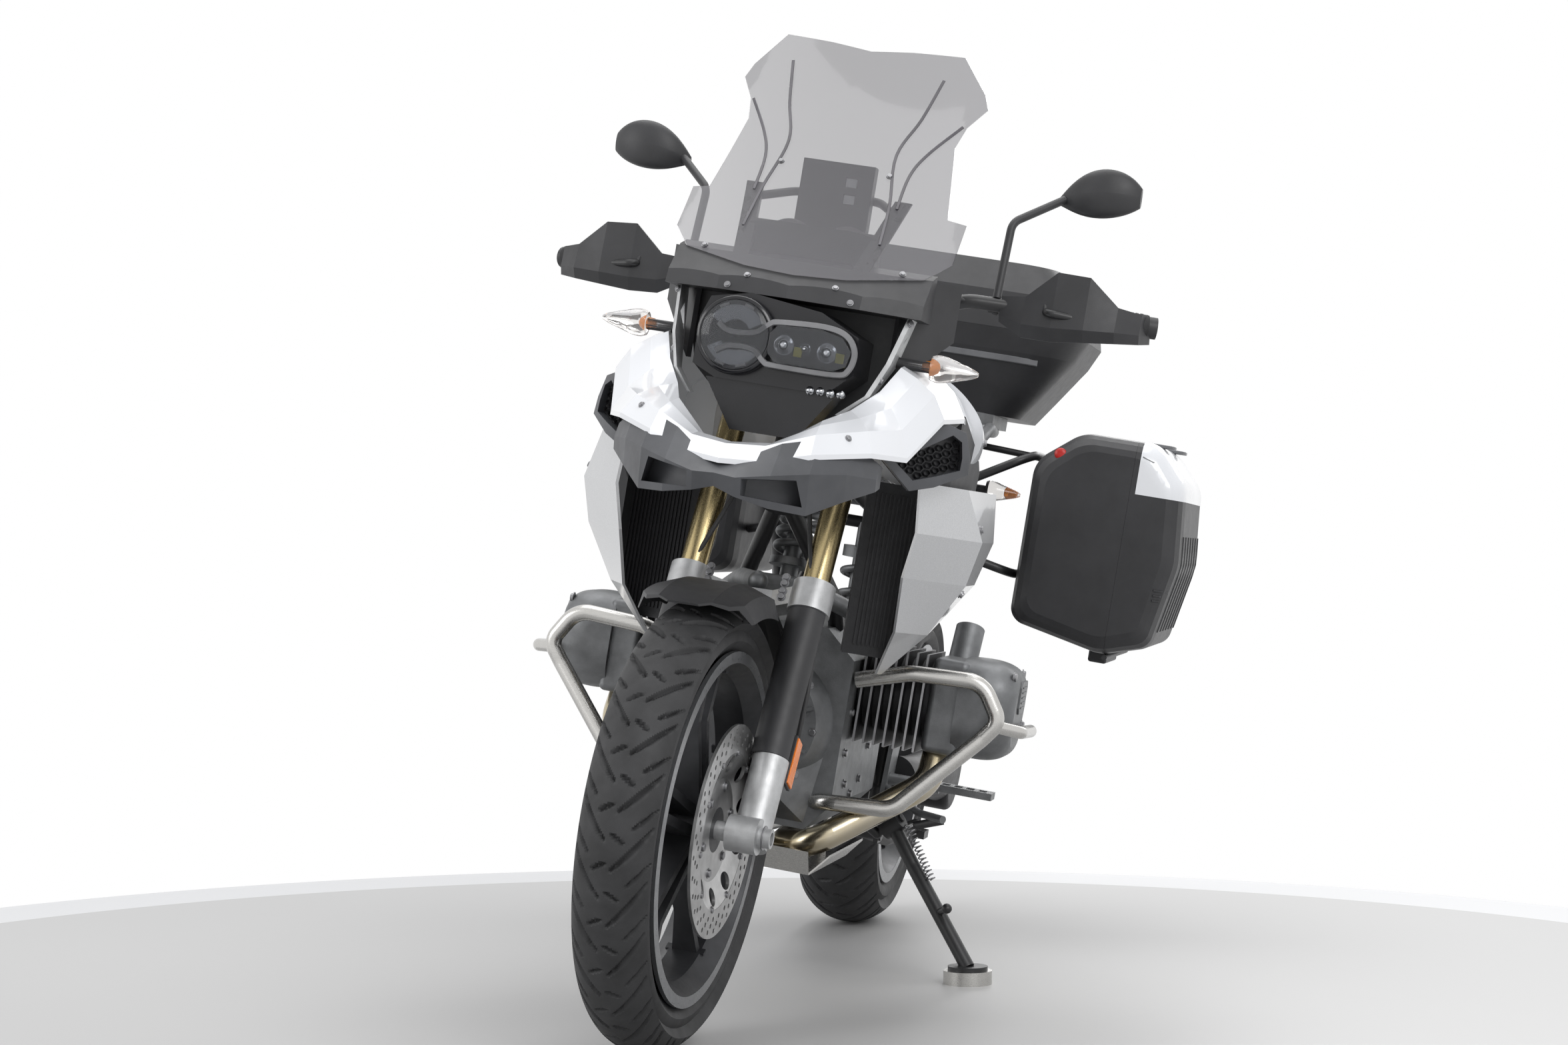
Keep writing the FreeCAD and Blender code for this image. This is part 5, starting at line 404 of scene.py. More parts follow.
class Piece:
    """Forms gathered in one mesh, which becomes an object on one body."""

    def __init__(self):
        self.bm = bmesh.new()

    def loft(self, rows, caps=True):
        """Skin rings of equal count, one after the other."""
        rings = [[self.bm.verts.new(Vector(p)) for p in row] for row in rows]
        for low, high in zip(rings, rings[1:]):
            count = len(low)
            for i in range(count):
                j = (i + 1) % count
                self.bm.faces.new((low[i], low[j], high[j], high[i]))
        if caps:
            self.bm.faces.new(list(reversed(rings[0])))
            self.bm.faces.new(rings[-1])
        return self

    def tube(self, path, radius, sides=10):
        path = [Vector(p) for p in path]
        rows = []
        side = None
        for i, point in enumerate(path):
            run = run_at(path, i)
            side = across(run)[0] if side is None else (side - run * side.dot(run)).normalized()
            rows.append(ring(point, side, run.cross(side), radius, turns(sides)))
        return self.loft(rows)

    def strip(self, path, width, depth, facing):
        """A flat bar along a path, a little narrower on the side that it faces."""
        facing = Vector(facing).normalized()
        rows = []
        for i, point in enumerate(path):
            out = run_at(path, i).cross(facing).normalized() * width / 2
            rows.append([point + out, point - out, point - out * 0.75 + facing * depth,
                         point + out * 0.75 + facing * depth])
        return self.loft(rows)

    def turned(self, base, axis, profile, sides=20):
        """Turn a profile of (radius, height) pairs about an axis."""
        axis = Vector(axis).normalized()
        side, other = across(axis)
        return self.loft([ring(Vector(base) + axis * height, side, other, max(radius, 0.01), turns(sides))
                          for radius, height in profile])

    def bolt(self, base, axis, radius, height):
        """A socket screw: a chamfered head with a six-sided recess, on a washer."""
        head = ((1.35, -1.0), (1.35, 0.8), (1.0, 0.9), (1.0, height * 0.82), (0.86, height), (0.56, height))
        recess = ((0.54, height), (0.5, height * 0.35), (0.04, height * 0.3))
        self.turned(base, axis, [(radius * share, rise) for share, rise in head], 18)
        return self.turned(base, axis, [(radius * share, rise + RECESS_LIFT) for share, rise in recess], 6)

    def prism(self, points, depth):
        """A plate of that outline, with its thickness as a vector."""
        points = [Vector(p) for p in points]
        return self.loft([points, [p + Vector(depth) for p in points]])

    def box(self, centre, half, turn=None, taper=1.0):
        """A block with a tapered far side."""
        turn = turn or Matrix.Identity(3)
        rows = []
        for z, scale in ((-1, 1.0), (1, taper)):
            corners = ((x * half[0] * scale, y * half[1] * scale, z * half[2]) for x, y in SQUARE)
            rows.append([Vector(centre) + turn @ Vector(corner) for corner in corners])
        return self.loft(rows)

    def skin(self, node_name, keep, proud=1.0, planes=()):
        """The outer faces of a node that pass a test, cut by planes and lifted off it."""
        part = shape_of(node_name, 0.01)
        for where, normal in planes:
            bmesh.ops.bisect_plane(part, geom=part.verts[:] + part.edges[:] + part.faces[:], plane_co=where,
                                   plane_no=normal, clear_outer=True)
        part.normal_update()
        tree = tree_of(node_name)
        gone = []
        for face in part.faces:
            centre = face.calc_center_median()
            outward = tree.ray_cast(centre + face.normal * 0.5, face.normal)[0] is None
            if not outward or not keep(centre, face.normal):
                gone.append(face)
        bmesh.ops.delete(part, geom=gone, context="FACES")
        part.normal_update()
        moves = [(vertex, vertex.normal.copy()) for vertex in part.verts]
        for vertex, normal in moves:
            vertex.co += normal * proud
        lifted = {vertex: self.bm.verts.new(vertex.co) for vertex in part.verts}
        sunk = {vertex: self.bm.verts.new(vertex.co - normal * proud * 1.5) for vertex, normal in moves}
        for face in part.faces:
            self.bm.faces.new([lifted[v] for v in face.verts])
        for edge in part.edges:
            if len(edge.link_faces) == 1:
                a, b = edge.verts
                if edge.link_loops[0].vert is a:
                    a, b = b, a
                self.bm.faces.new((lifted[a], lifted[b], sunk[b], sunk[a]))
        part.free()
        return self

    def done(self, name, body, look, bevel=0.0, replaced=()):
        """The object, on its body, with edges rounded by the bevel's width."""
        bmesh.ops.recalc_face_normals(self.bm, faces=self.bm.faces)
        self.bm.transform(PLACES[body])
        mesh = bpy.data.meshes.new(name)
        self.bm.to_mesh(mesh)
        self.bm.free()
        mesh.materials.append(LOOKS[look])
        made = bpy.data.objects.new(name, mesh)
        bpy.context.scene.collection.objects.link(made)
        mesh.shade_smooth()
        mesh.set_sharp_from_angle(angle=SHARP)
        if bevel:
            edge = made.modifiers.new("edge", "BEVEL")
            edge.width = bevel * MM
            edge.segments = 2
            edge.limit_method = "ANGLE"
            edge.angle_limit = SHARP
            edge.harden_normals = True
        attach(made, body)
        if replaced:
            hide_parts(*replaced)
        return made


def screws_at(name, node_names, spots, direction, radius, height):
    """Screws on both sides, seated where straight looks first meet one of the nodes."""
    piece = Piece()
    direction = Vector(direction).normalized()
    for spot in spots:
        for side in SIDES:
            way = Vector((direction.x * side, direction.y, direction.z))
            start = Vector((spot[0] * side, spot[1], spot[2])) - way * 600
            rays = [tree_of(node_name).ray_cast(start, way) for node_name in node_names]
            rays = [ray for ray in rays if ray[0]]
            if rays:
                point, normal, _, _ = min(rays, key=lambda ray: ray[3])
                axis = normal if normal.dot(way) < 0 else -normal
                piece.bolt(point + axis * SCREW_SEAT, axis, radius, height)
    return piece.done(name, "root", "screw", 0.2)


# Tyres: the section is found on the CAD tyre, then turned with its tread cut in

TREAD_ANGLE = 64
TREAD_STEPS = 50
WALL_ANGLES = (72, 80, 90, 100, 110, 120, 130, 140)
WALL_LINE_ANGLE = 110
WALL_LINE_RISE = 0.8
STEPS_PER_PITCH = 26
CROWN_SINK = 0.2
# Each groove's start and end across the tread, its shift and slant in pitches, and its width
GROOVES = ((0.09, 0.93, 0.0, 0.92, 3.6), (0.46, 0.97, 0.52, 0.70, 2.6), (0.0, 0.34, 0.66, -0.55, 2.4))


def groove_share(along, pitch, x, lateral):
    """How deep the tread is cut at a place, from 0 to 1. The right half lags by half a pitch."""
    reach = abs(lateral)
    best = 0.0
    for start, end, shift, slant, wide in GROOVES:
        if not start - 0.03 < reach < end + 0.03:
            continue
        centre = (shift + (0.0 if x > 0 else 0.5) + slant * reach ** 1.25) * pitch
        gap = (along - centre + pitch / 2) % pitch - pitch / 2
        fade = min(1.0, (reach - start + 0.03) / 0.06, (end + 0.03 - reach) / 0.06)
        half = wide * (0.55 + 0.75 * math.sin(math.pi * min(max((reach - start) / (end - start), 0.0), 1.0)))
        best = max(best, fade * min(max((half - abs(gap)) / 1.6 + 0.5, 0.0), 1.0))
    return best


def tyre_section(node_name, axle, crown, half_width, core):
    """Points (angle, x, radius): an arc over the crown, and the CAD tyre's own walls."""
    centre = Vector((0, axle.y, axle.z + core))
    crown_centre = axle.z - crown
    edge_rise = crown_centre + math.sqrt(crown ** 2 - half_width ** 2)
    crown_angle = math.degrees(math.atan2(half_width, edge_rise - core)) - 2
    angles = [-angle for angle in reversed(WALL_ANGLES)]
    angles += [-TREAD_ANGLE + 2 * TREAD_ANGLE * k / TREAD_STEPS for k in range(TREAD_STEPS + 1)]
    angles += WALL_ANGLES
    section = []
    for angle in angles:
        a = math.radians(angle)
        way = Vector((math.sin(a), 0, math.cos(a)))
        if abs(angle) <= crown_angle:
            rise = core - crown_centre
            reach = -way.z * rise + math.sqrt((way.z * rise) ** 2 + crown ** 2 - rise ** 2) - CROWN_SINK
        else:
            reach = (hit(node_name, centre, way) - centre).length
        section.append((angle, way.x * reach, core + way.z * reach))
    return section


def tyre(end, axle, crown, half_width, core, pitches, depth):
    piece = Piece()
    section = tyre_section(end + "_tyre", axle, crown, half_width, core)
    around = pitches * STEPS_PER_PITCH
    length = 2 * math.pi * axle.z
    rings = []
    for i in range(around):
        turn = 2 * math.pi * i / around
        row = []
        for angle, x, radius in section:
            cut = 0.0
            if abs(angle) < TREAD_ANGLE:
                cut = groove_share(length * i / around, length / pitches, x, angle / TREAD_ANGLE) * depth
            elif abs(angle) == WALL_LINE_ANGLE:
                cut = -WALL_LINE_RISE
            a = math.radians(angle)
            low = radius - math.cos(a) * cut
            row.append(piece.bm.verts.new((x - math.sin(a) * cut, axle.y + low * math.sin(turn),
                                           axle.z + low * math.cos(turn))))
        rings.append(row)
    for low, high in zip(rings, rings[1:] + rings[:1]):
        for k in range(len(section) - 1):
            piece.bm.faces.new((low[k], low[k + 1], high[k + 1], high[k]))
    return piece.done(end + "_tyre_tread", end + "_wheel", "tyre", replaced=(end + "_tyre",))


tyre("front", FRONT_AXLE, FRONT_CROWN, 58, 268, 26, 5.0)
tyre("rear", REAR_AXLE, REAR_CROWN, 80, 244, 24, 5.5)

# Wheels: bright flanges, disc screws and studs

# Height of the look above the axle, radius of the ring, count, size and first angle
DISC_SCREWS = ((68, 62, 6, 5.5, 0.2), (110, 112, 10, 4.2, 0.1))


def wheel_screws(piece, axle, x, radius, count, size, start=0.0):
    """A ring of screws that face away from the wheel's middle."""
    for a in turns(count, start):
        piece.bolt((x, axle.y + radius * math.sin(a), axle.z + radius * math.cos(a)),
                   (math.copysign(1, x), 0, 0), size, size * 0.7)


def radial(axle, low, high):
    def keep(centre, normal):
        return low < math.hypot(centre.y - axle.y, centre.z - axle.z) < high
    return keep


for end, axle, low, high in (("front", FRONT_AXLE, 236, 262), ("rear", REAR_AXLE, 213, 240)):
    flange = Piece().skin(end + "_rim", radial(axle, low, high), 0.5)
    flange.done(end + "_rim_flange", end + "_wheel", "flange")
screws = Piece()
for side in SIDES:
    for rise, radius, count, size, first in DISC_SCREWS:
        spot = hit("front_discs", (side * 200, 0, FRONT_AXLE.z + rise), (-side, 0, 0))
        wheel_screws(screws, FRONT_AXLE, spot.x, radius, count, size, first)
screws.done("front_disc_screws", "front_wheel", "screw")
studs = Piece()
wheel_screws(studs, REAR_AXLE, hit("rear_rim", REAR_AXLE + Vector((300, 0, 44)), (-1, 0, 0)).x, 40, 5, 8.0)
studs.done("rear_wheel_studs", "rear_wheel", "screw")

# Headlamp: outlines as (x, z)

LAMP_AT = Vector((-58, 70, 1022))
LED_EDGE = ((-4, 1030), (6, 1042), (60, 1046), (104, 1038), (113, 1020), (110, 1000), (92, 994), (8, 994),
            (-4, 1006))
LENS_EDGE = ((-6, 1032), (4, 1045), (66, 1048), (100, 1040), (115, 1022), (110, 1000), (92, 991), (6, 991),
             (-6, 1004))
FRAME_PATH = ((-84, 1036), (-66, 1026), (-30, 1029), (-10, 1044), (4, 1049), (70, 1052), (104, 1044),
              (119, 1022), (114, 996), (94, 987), (6, 987), (-10, 990), (-28, 1005), (-62, 1006), (-82, 996))
LEDS = ((15, 1018, 15), (79, 1016, 15), (47, 1017, 8))
MARKERS_AT = (60, 88, 960)
BEZEL_Y = 73
TRIM_Y = 66.5
LED_Y = 69
CHIP_Y = 67
LENS_Y = 62

lamp = Piece()
lamp.turned(LAMP_AT, AHEAD, ((57, -8), (57.5, 1), (56, 5), (52, 7), (49, 5.5), (48, 1), (30, 0.6),
                             (0.02, 0.6)), 48)
lamp.prism([(x, BEZEL_Y, z) for x, z in LED_EDGE], (0, -5, 0))
lamp.done("lamp_bezel", "root", "bezel", 1.0)
trim = Piece()
trim.strip(smooth_path([(x, TRIM_Y, z) for x, z in FRAME_PATH], 5), 9, 5, AHEAD)
for angle in (70, 118, 250, 290):
    a = math.radians(angle)
    trim.strip([LAMP_AT + Vector((math.cos(a + t) * 45, -4, math.sin(a + t) * 45))
                for t in (-0.16, -0.08, 0, 0.08, 0.16)], 5, 3, AHEAD)
trim.done("lamp_trim", "root", "trim", 0.6)
leds = Piece()
for x, z, wide in LEDS:
    leds.turned((x, LED_Y, z), AHEAD, ((wide, -2), (wide, 1), (wide * 0.86, 1.5), (wide * 0.6, 6),
                                    (wide * 0.3, 9), (0.02, 10)), 24)
for k in range(4):
    leds.turned(Vector(MARKERS_AT) + Vector((k * 15, 0, k % 2)), AHEAD,
                ((6.5, -3), (6.5, 5), (4, 8), (0.02, 9)), 16)
leds.done("led_lenses", "root", "lamp_mirror", 0.4)
cups = Piece()
for side in SIDES:
    rows = []
    for k in range(9):
        a = math.radians(90 + (k - 4) * 15)
        way = Vector((math.cos(a), 0, math.sin(a) * side))
        rows.append([LAMP_AT + way * reach + AHEAD * rise
                     for reach, rise in ((22, 1.4), (43, 3.4), (44, 1.0), (22, 0.8))])
    cups.loft(rows)
cups.done("lamp_reflectors", "root", "lamp_mirror")
chips = Piece()
for x in (37, 99):
    chips.box((x, CHIP_Y, 1011), (6, 1.2, 7))
chips.done("led_chips", "root", "chip", 0.4)
cover = Piece()
cover.turned(LAMP_AT + AHEAD * 6, AHEAD, ((50, -1), (50.5, 1), (46, 4), (30, 7.5), (12, 9.5), (0.02, 10)), 48)
cover.prism([(x, LENS_Y, z) for x, z in LENS_EDGE], (0, -2.4, 0))
cover.done("lamp_lens_covers", "root", "lens", 0.8)

# Turn signals: dark stalks, and amber bulbs inside the clear lenses

REAR_FROM = 700
STALKS_FROM = 60
STALK_SHARE = 0.30
BULBS_FROM = 120
BULB_SHARE = 0.36
BULB = ((5, -4), (8.5, 0), (9.5, 7), (8.5, 15), (5, 21), (0.02, 23))
signal_points = mesh_of("signal_lamps")[0]
bulbs = Piece()
stalk_ends = {}
for side in SIDES:
    for rear in (False, True):
        signal = [p for p in signal_points if p.x * side > STALKS_FROM and (p.y > REAR_FROM) == rear]
        widths = [p.x * side for p in signal]
        stalk_ends[(side, rear)] = min(widths) + (max(widths) - min(widths)) * STALK_SHARE
        signal = [p for p in signal if p.x * side > BULBS_FROM]
        tip = max(signal, key=lambda p: p.x * side)
        root = min(signal, key=lambda p: p.x * side)
        bulbs.turned((root.lerp(tip, BULB_SHARE).x, tip.y, tip.z), (side, 0, 0), BULB, 20)
bulbs.done("signal_bulbs", "root", "amber")


def on_stalk(centre, normal):
    return STALKS_FROM < abs(centre.x) < stalk_ends[(1 if centre.x > 0 else -1, centre.y > REAR_FROM)]


def on_tail(centre, normal):
    return abs(centre.x) < STALKS_FROM


Piece().skin("signal_lamps", on_stalk, 0.5).done("signal_stalks", "root", "dark_plastic")
Piece().skin("signal_lamps", on_tail, 0.6).done("tail_lens", "root", "tail_red")

# Windscreen folds as (x, z), and holder windows: pale blocks behind them, painted light seen through the
# windows

FOLDS = (((120, 1470), (104, 1400), (84, 1335), (98, 1255), (104, 1190)),
         ((166, 1400), (128, 1345), (112, 1305), (110, 1250)))
WINDOW_X = 22.4
WINDOW_HEIGHTS = (1259.4, 1284.9)

folds = Piece()
for side in SIDES:
    for points in FOLDS:
        spots = seen("windscreen", [((side * x, -400, z), BACK) for x, z in points])
        folds.strip(smooth_path([p + AHEAD * 0.6 for p in spots], 6), 5, 1.2, AHEAD)
folds.done("screen_folds", "root", "fold", 0.3)
# Painted light: pale blocks behind the holders' windows stand in for the light seen through them
window_lights = Piece()
for z in WINDOW_HEIGHTS:
    for spot in seen("screen_supports", [((0, 0, z), BACK)]):
        window_lights.box((WINDOW_X, spot.y + 5, z), (8.6, 6.8, 3.0), Matrix.Rotation(math.pi / 2, 3, "X"))
window_lights.done("holder_window_light", "root", "window_light", 0.6)

# Fairing screws: points that the looks pass through

COWL_SCREWS = ((92, 0, 1094), (66, 0, 1112), (150, 0, 1150), (84, 0, 1300), (150, 0, 900))
STRUT_SCREWS = ((200, 150, 1080), (200, 100, 990))
SHROUD_SCREWS = ((500, 300, 800), (500, 330, 700), (500, 380, 930), (500, 660, 900), (500, 720, 780),
                 (500, 820, 760))
screws_at("cowl_screws", ("cockpit", "nose_panel", "beak", "windscreen"), COWL_SCREWS, BACK, 3.8, 3)
screws_at("strut_screws", ("lamp_brackets",), STRUT_SCREWS, (-1, 0.2, 0), 4.5, 3)
screws_at("shroud_screws", ("radiator_shrouds", "tank_cover", "side_panels"), SHROUD_SCREWS, (-1, 0, 0), 5, 4)

# Air ducts: a rimmed triangle with a hexagon mesh behind it

OPENING = ((197, 880), (228, 905), (260, 931), (272, 923), (276, 900), (276, 882), (248, 868), (222, 857))
RIM = ((183, 880), (214, 920), (240, 950), (276, 938), (286, 905), (288, 878), (250, 852), (221, 841))
HOLE_PITCH = 11.0


def duct_point(side, x, z, sunk):
    return Vector((side * (x - sunk * 0.5), 118 + (x - 218) * 1.25 + (z - 878) * 0.20 + sunk, z))


def duct_loop(side, outline, sunk):
    return [duct_point(side, x, z, sunk) for x, z in outline]


def hole(side, x, z):
    """A six-sided hole's rim, standing proud of the plate behind it."""
    return [[duct_point(side, x + math.cos(a) * radius, z + math.sin(a) * radius, sunk) for a in turns(6)]
            for radius, sunk in ((5.4, 12), (4.1, 8), (3.9, 12.6))]


def in_opening(x, z):
    """Whether a hole there stays clear of the opening's edges."""
    return 857 + abs(x - 222) * 0.42 + 5 < z < min(880 + (x - 197) * 0.81 - 5, 924) and 204 < x < 273


duct = Piece()
grille = Piece()
for side in SIDES:
    duct.loft([duct_loop(side, RIM, 10), duct_loop(side, RIM, 1), duct_loop(side, OPENING, -2),
               duct_loop(side, OPENING, 12)], caps=False)
    grille.loft([duct_loop(side, RIM, 13), duct_loop(side, RIM, 15)])
    for i in range(-6, 7):
        for j in range(-6, 7):
            x = 240 + i * HOLE_PITCH * 0.9
            z = 893 + (j + (i % 2) * 0.5) * HOLE_PITCH
            if in_opening(x, z):
                grille.loft(hole(side, x, z), caps=False)
duct.done("duct_rims", "root", "grey_plastic", 0.8)
grille.done("duct_mesh", "root", "dark_plastic")

# Fork: reflectors, pinch screws and axle ends, places as (x, forward, along)

FORK_SCREWS = ((64, 44, 1058), (64, 44, 1086), (58, 58, 706), (58, 58, 728))
seats = Piece()
reflectors = Piece()
fork_screws = Piece()
for side in SIDES:
    at = fork_point(side * 122, 4, 470)
    turn = Matrix.Rotation(-RAKE, 3, "X")
    seats.box(at, (2.5, 15, 38), turn)
    reflectors.box(at + Vector((side * 3, 0, 0)), (2.2, 13, 35), turn, 0.96)
    for x, forward, along in FORK_SCREWS:
        for shift in (-4.8, 4.8):
            fork_screws.bolt(fork_point(side * x, forward, along + shift), STEER_FORWARD, 5, 5)
    for spot in seen("fork_sliders", [((side * 300, 19, FRONT_AXLE.z), (-side, 0, 0))]):
        fork_screws.bolt((spot.x, 0, FRONT_AXLE.z), (side, 0, 0), 13, 5)
    fork_screws.turned(fork_point(side * 95, 28, 1096), STEER_AXIS,
                       ((14, -2), (14, 3), (11, 5), (6, 5), (5, 9), (0.02, 9)), 6)
seats.done("reflector_seats", "steering", "dark_plastic", 1.0)
reflectors.done("fork_reflectors", "steering", "reflector", 1.0)
fork_screws.done("fork_screws", "steering", "screw", 0.3)

# Brake hoses as (x, forward, along) on the fork, and lever lines as (x, y, z)

BRAKE_HOSE = ((112, -38, 462), (118, -6, 520), (120, 16, 590), (112, 34, 680), (84, 44, 770), (60, 40, 860),
              (46, 30, 950))
LEVER_LINE = ((250, 470, 1128), (190, 430, 1140), (120, 400, 1150), (70, 385, 1120), (40, 380, 1080))
BRAKE_HOSE_RADIUS = 3.6
LEVER_LINE_RADIUS = 3.2


def hose(name, points, radius):
    """A hose with a crimped ferrule at each end."""
    path = smooth_path(points, 8)
    piece = Piece().tube(path, radius)
    for end, run in ((path[0], path[1] - path[0]), (path[-1], path[-2] - path[-1])):
        piece.turned(end, run, ((radius * 1.1, -2), (radius * 1.7, -2), (radius * 1.7, 6), (radius * 1.5, 7),
                                (radius * 1.5, 13), (radius * 1.1, 14)), 12)
    return piece.done(name, "steering", "hose")


for side, label in LABELS.items():
    route = [fork_point(side * x, forward, along) for x, forward, along in BRAKE_HOSE]
    hose(label + "_brake_hose", route, BRAKE_HOSE_RADIUS)
    hose(label + "_lever_line", [(side * x, y, z) for x, y, z in LEVER_LINE], LEVER_LINE_RADIUS)

# Handlebar: ribbed grips, switch pods and mirror glass

GRIP_LENGTH = 128
GRIP_RIBS = 15
RIB_PITCH = 7.4
GRIP_SLANT = Vector((258, 92, 0)).normalized()
MIRROR_AT = (372, 1335)
MIRROR_HALF = (50, 28)

bar_points = mesh_of("handlebar")[0]
for side, label in LABELS.items():
    tip = max(bar_points, key=lambda p: p.x * side)
    far = [p for p in bar_points if abs(p.x - tip.x) < 4]
    axis = Vector((side * GRIP_SLANT.x, GRIP_SLANT.y, 0))
    start = sum(far, Vector()) / len(far) - axis * GRIP_LENGTH
    profile = [(17.4, 0), (19.5, 0.5), (19.5, 4), (17.6, 5)]
    for k in range(GRIP_RIBS):
        profile += [(radius, rise + k * RIB_PITCH) for radius, rise in ((17.4, 8), (18.3, 9.4), (18.3, 12.6),
                                                                        (17.4, 14))]
    profile += [(17.4, 124), (17.0, 126)]
    Piece().turned(start, axis, profile, 28).done(label + "_grip", "steering", "grip")
    pod = Piece()
    at = start - axis * 26
    pod.turned(at, axis, ((17, -16), (21, -14), (22, 0), (21, 14), (17, 16)), 16)
    for rise in (-12, 0, 12):
        pod.box(at + Vector((0, 21, rise * 0.7)) + axis * (rise * 0.3), (5, 3, 3.2), None, 0.8)
    pod.done(label + "_switch_pod", "steering", "dark_plastic", 0.8)
    loop = []
    for a in turns(28):
        x = MIRROR_AT[0] + math.cos(a) * MIRROR_HALF[0]
        z = MIRROR_AT[1] + math.sin(a) * MIRROR_HALF[1]
        loop.append(hit("mirrors", (side * x, 700, z), AHEAD))
    glass_y = max(p.y for p in loop) - 2
    glass = Piece().prism([(p.x, glass_y, p.z) for p in loop], (0, 3.0, 0))
    glass.done(label + "_mirror_glass", "steering", "mirror", 0.6)

# Seats: padded, then piped along their seams

PAD_SHRINK = 3.0
PAD_CAP = 5
PAD_VOXEL = 0.006
PAD_FRAMES = 20
PIPING_RADIUS = 1.7


def settled(obj):
    """The object's mesh with its modifiers worked in."""
    bpy.context.view_layer.update()
    shape = bpy.data.meshes.new_from_object(obj.evaluated_get(bpy.context.evaluated_depsgraph_get()))
    obj.modifiers.clear()
    obj.data = shape


def blow_up(pad):
    """Let cloth under pressure round the pad, held within a few millimetres of where it started."""
    start = [vertex.co.copy() for vertex in pad.data.vertices]
    cloth = pad.modifiers.new("padding", "CLOTH")
    cloth.settings.use_pressure = True
    cloth.settings.uniform_pressure_force = 4
    cloth.settings.effector_weights.gravity = 0
    cloth.point_cache.frame_start = 1
    cloth.point_cache.frame_end = PAD_FRAMES
    for step in range(1, PAD_FRAMES + 1):
        bpy.context.scene.frame_set(step)
    settled(pad)
    for vertex, origin in zip(pad.data.vertices, start):
        move = vertex.co - origin
        if move.length > PAD_CAP * MM:
            vertex.co = origin + move.normalized() * PAD_CAP * MM
    bpy.context.scene.frame_set(1)


def cushion(node_name):
    """A padded cover in a seat's place, and its faces in the bike's axes to look at."""
    bm = shape_of(node_name, 0.02)
    bmesh.ops.recalc_face_normals(bm, faces=bm.faces)
    bm.normal_update()
    for vertex, normal in [(v, v.normal.copy()) for v in bm.verts]:
        vertex.co -= normal * PAD_SHRINK
    bm.transform(CHASSIS)
    shape = bpy.data.meshes.new(node_name + "_cover")
    bm.to_mesh(shape)
    bm.free()
    shape.materials.append(LOOKS["seat_cover"])
    pad = bpy.data.objects.new(node_name + "_cover", shape)
    bpy.context.scene.collection.objects.link(pad)
    remesh = pad.modifiers.new("voxels", "REMESH")
    remesh.mode = "VOXEL"
    remesh.voxel_size = PAD_VOXEL
    settled(pad)
    blow_up(pad)
    back = CHASSIS.inverted()
    tree = BVHTree.FromPolygons([back @ v.co for v in pad.data.vertices],
                                [tuple(p.vertices) for p in pad.data.polygons])
    pad.data.shade_smooth()
    rounder = pad.modifiers.new("rounder", "SUBSURF")
    rounder.levels = rounder.render_levels = 1
    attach(pad, "root")
    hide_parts(node_name)
    return tree


def piping(name, tree, rows):
    """Rolled seams that follow the cover, each from a row of looks at it."""
    piece = Piece()
    for looks in rows:
        path = [tree.ray_cast(Vector(start), Vector(way))[0] for start, way in looks]
        path = [point for point in path if point]
        if len(path) > 3:
            piece.tube(smooth_path(path, 3), PIPING_RADIUS, 8)
    return piece.done(name, "root", "piping")


# Each seat's side seams: first y, step, count, height and rise; its cross seams: places, reach and height
SEAMS = {"rider_seat": (770, 15, 21, 838, 0.5, (905, 1040), 14, 1200),
         "pillion_seat": (1128, 14, 20, 902, 0.0, (1200, 1330), 12, 1300)}
for seat, (first, step, count, height, rise, seams, reach, above) in SEAMS.items():
    cover = cushion(seat)
    rows = [[((side * 500, first + k * step, height + k * rise), (-side, 0, 0)) for k in range(count)]
            for side in SIDES]
    rows += [[((x * 10, y, above), DOWN) for x in range(-reach, reach + 1)] for y in seams]
    piping(seat + "_piping", cover, rows)

# Side cases: white panels, ribs, latches, buttons and inserts

LATCH = ((-26, -32), (20, -28), (24, -20), (24, 20), (20, 28), (-26, 32))
INSERT = ((449, 985), (449, 962), (470, 955), (482, 968))
PANEL_LOW = 896
PANEL_INNER = 446

for side, label in LABELS.items():
    body = label + "_lid"
    lid = "side_case_" + label + "_lid"
    inward = (-side, 0, 0)
    planes = (((0, 0, PANEL_LOW), DOWN), ((side * PANEL_INNER, 0, 0), inward))
    panel = Piece().skin(lid, lambda centre, normal: True, 1.2, planes)
    panel.done(label + "_case_panel", body, "painted_white")
    ribs = Piece()
    for k in range(3):
        spots = seen(lid, [((side * x, 900, 716 + k * 9), BACK) for x in (506, 518, 530)])
        if len(spots) > 1:
            ribs.strip([p + AHEAD * 0.4 for p in spots], 4, 3, AHEAD)
    for k in range(7):
        spots = seen(lid, [((side * 900, 1190 + k * 60, z), inward) for z in range(660, 860, 25)])
        if len(spots) > 1:
            ribs.strip([p + Vector((side * -0.4, 0, 0)) for p in spots], 5, 2.4, (side, 0, 0))
    ribs.done(label + "_case_ribs", body, "dark_plastic", 0.5)
    latches = Piece()
    for y in (1240, 1500):
        spot = hit(lid, (side * 470, y, 1400), DOWN)
        latches.prism([spot + Vector((side * a, b, 0)) for a, b in LATCH], (0, 0, 6))
    latches.done(label + "_case_latches", body, "insert", 1.5)
    spot = hit("side_case_" + label, (side * 304, 900, 945), BACK) + BACK
    button = Piece().turned(spot, AHEAD, ((11, -2), (11, 2), (9, 4), (5, 5), (0.02, 5)), 24)
    button.done(label + "_case_button", "root", "red", 0.4)
    spots = [hit(lid, (side * x, 900, z), BACK) for x, z in INSERT]
    insert = Piece().prism([p + AHEAD * 0.5 for p in spots], AHEAD * 2.2)
    insert.done(label + "_case_insert", body, "insert", 0.6)

# Top case: band, catches and red bar

